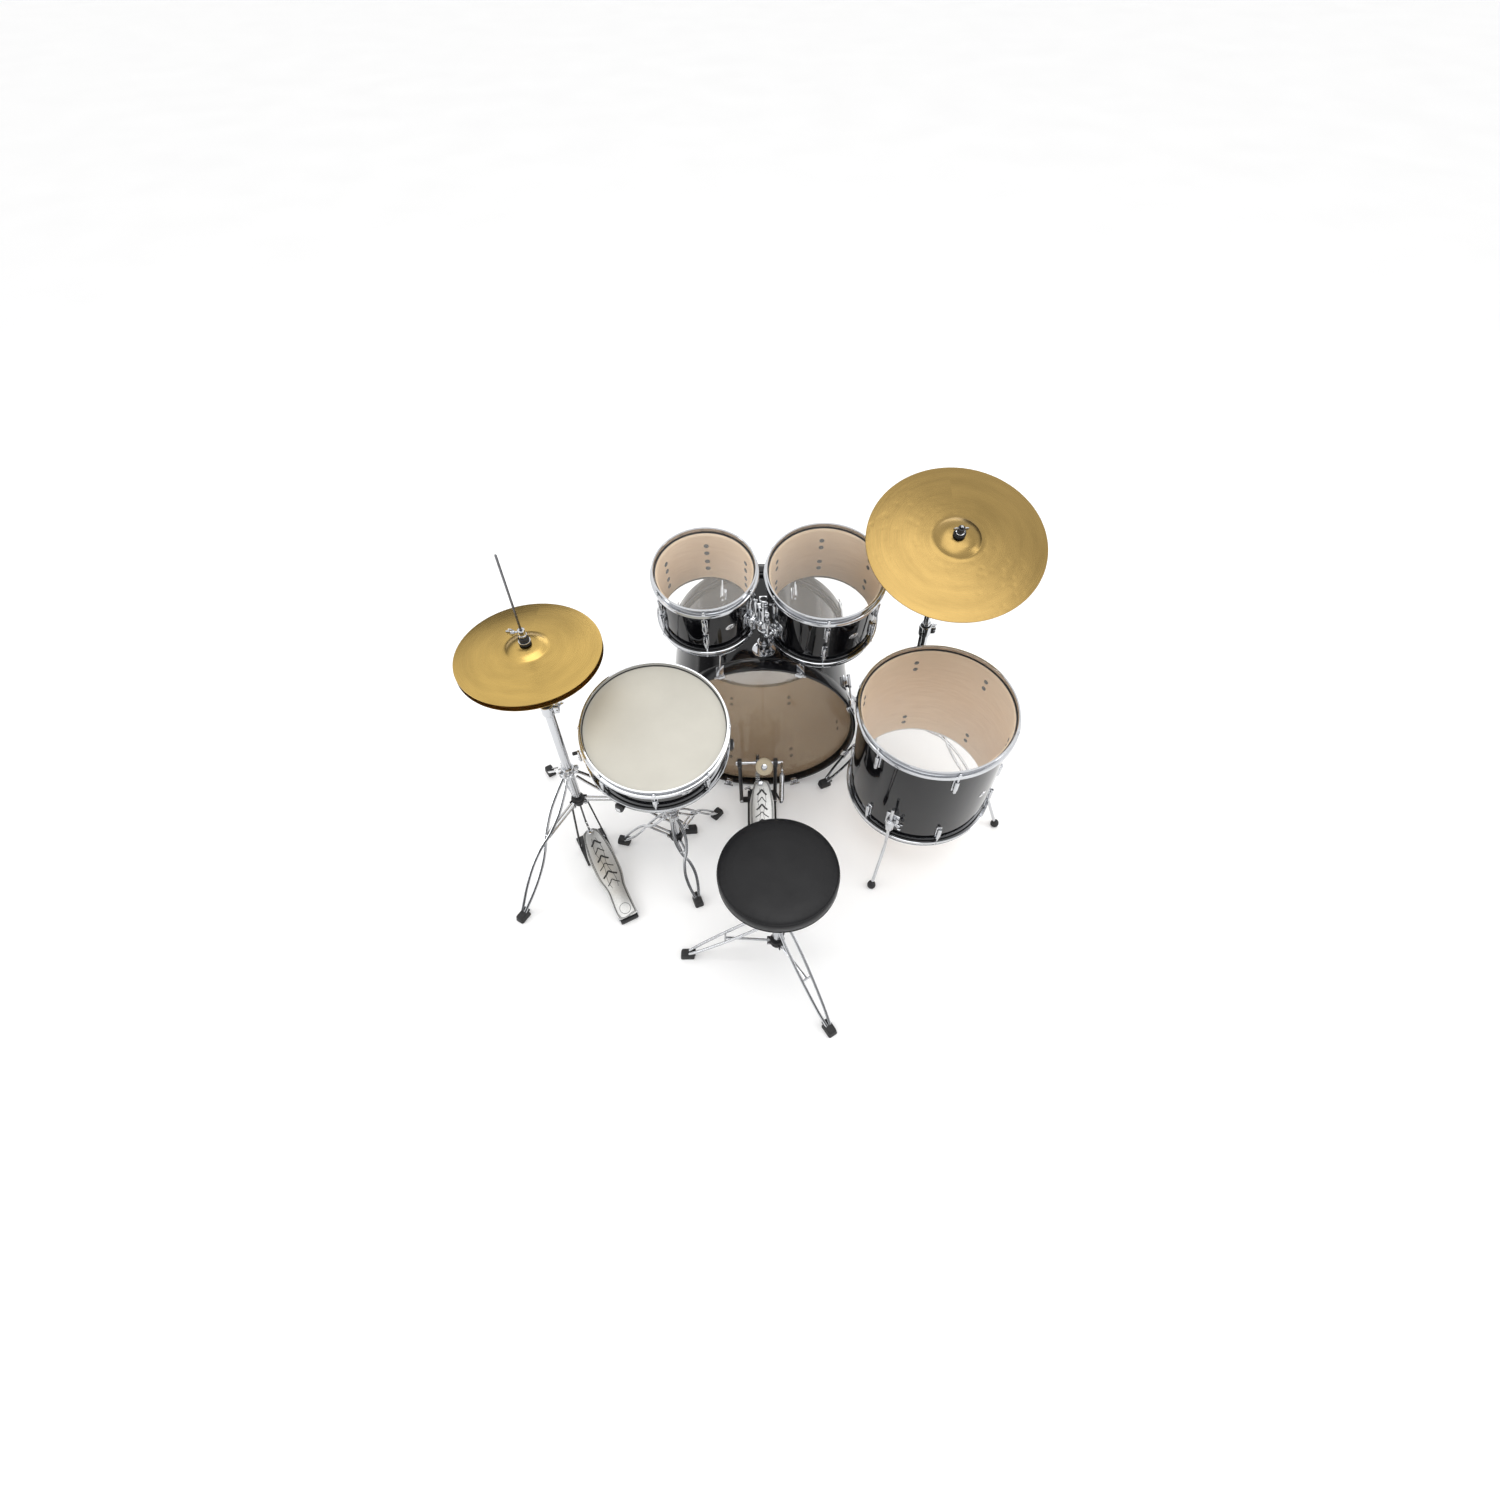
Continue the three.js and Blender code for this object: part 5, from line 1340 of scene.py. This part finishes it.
def soft_light(name, where, aim, size, power):
    light = bpy.data.lights.new(name, "AREA")
    light.shape = "RECTANGLE"
    light.size, light.size_y = size
    light.energy = power
    made = bpy.data.objects.new(name, light)
    made.location = where
    made.rotation_euler = (Vector(aim) - Vector(where)).to_track_quat("-Z", "Y").to_euler()
    bpy.context.scene.collection.objects.link(made)


def studio_air():
    """A pale room: bright overhead, pale at the horizon, with darker bays between the lights."""
    world = bpy.data.worlds.new("pale_room")
    world.use_nodes = True
    tree = world.node_tree
    background = tree.nodes["Background"]
    coordinates = tree.nodes.new("ShaderNodeTexCoord")
    parts = tree.nodes.new("ShaderNodeSeparateXYZ")
    ramp = tree.nodes.new("ShaderNodeValToRGB")
    stops = [(0.0, 0.95), (0.05, 0.95), (0.11, 0.16), (0.36, 0.10), (0.50, 0.92), (1.0, 1.0)]
    fill_ramp(ramp, stops)
    tree.links.new(coordinates.outputs["Generated"], parts.inputs["Vector"])
    tree.links.new(parts.outputs["Z"], ramp.inputs["Fac"])
    tree.links.new(ramp.outputs["Color"], background.inputs["Color"])
    background.inputs["Strength"].default_value = 1.2
    bpy.context.scene.world = world
    bpy.context.scene.view_settings.view_transform = "Standard"


def add_room():
    studio_air()
    soft_light("overhead", (0.3, -0.3, 3.8), (0, 0, 0), (2.6, 2.6), 38)
    soft_light("left_panel", (-3.0, -0.6, 1.5), (0, 0, 0.4), (0.5, 2.8), 22)
    soft_light("right_panel", (3.0, -0.4, 1.6), (0, 0, 0.4), (0.5, 2.8), 18)
    soft_light("back_panel", (0.4, 3.0, 1.9), (0, 0, 0.4), (2.4, 1.0), 16)

    sheet = fresh()
    bmesh.ops.create_grid(sheet, x_segments=2, y_segments=2, size=60)
    mesh = bpy.data.meshes.new("studio_floor")
    sheet.to_mesh(mesh)
    sheet.free()
    floor_finish = finish("floor_paint", (0.93, 0.93, 0.93), 0.75, Specular_IOR_Level=0.2)
    shader = shader_of(floor_finish)
    shader.inputs["Emission Color"].default_value = (1, 1, 1, 1)
    shader.inputs["Emission Strength"].default_value = 0.10
    cloud = noise(floor_finish, place_of(floor_finish), 1.5, 2)
    graded(floor_finish, cloud, [(0.3, 0.91), (0.7, 0.94)], "Base Color")
    mesh.materials.append(floor_finish)
    floor = bpy.data.objects.new("studio_floor", mesh)
    bpy.context.scene.collection.objects.link(floor)


CAMERA_AT = (-0.0033, -1.3688, 2.0658)  # metres
CAMERA_ANGLES = (50.770, -1.218, -1.824)  # pitch, yaw and roll, in degrees
CAMERA_LENS = 18.02


def add_camera():
    pitch, yaw, roll = (math.radians(angle) for angle in CAMERA_ANGLES)
    forward = Vector((math.sin(yaw) * math.cos(pitch), math.cos(yaw) * math.cos(pitch), -math.sin(pitch)))
    right = Vector((math.cos(yaw), -math.sin(yaw), 0))
    above = right.cross(forward)
    across = right * math.cos(roll) + above * math.sin(roll)
    above = above * math.cos(roll) - right * math.sin(roll)
    data = bpy.data.cameras.new("camera")
    data.lens = CAMERA_LENS
    data.sensor_width = 36
    camera = bpy.data.objects.new("camera", data)
    basis = Matrix((across, above, -forward)).transposed().to_4x4()
    camera.matrix_world = Matrix.Translation(CAMERA_AT) @ basis
    bpy.context.scene.collection.objects.link(camera)
    bpy.context.scene.camera = camera


add_bass_drum()
add_bass_pedal()
add_tom_holder()
add_rack_tom("left_tom", RACK_TOM_SMALL, SMALL_TOM_BRACKET)
add_rack_tom("right_tom", RACK_TOM_LARGE, LARGE_TOM_BRACKET)
add_floor_tom()
add_snare()
add_hihat()
add_crash()
add_throne()
add_room()
add_camera()
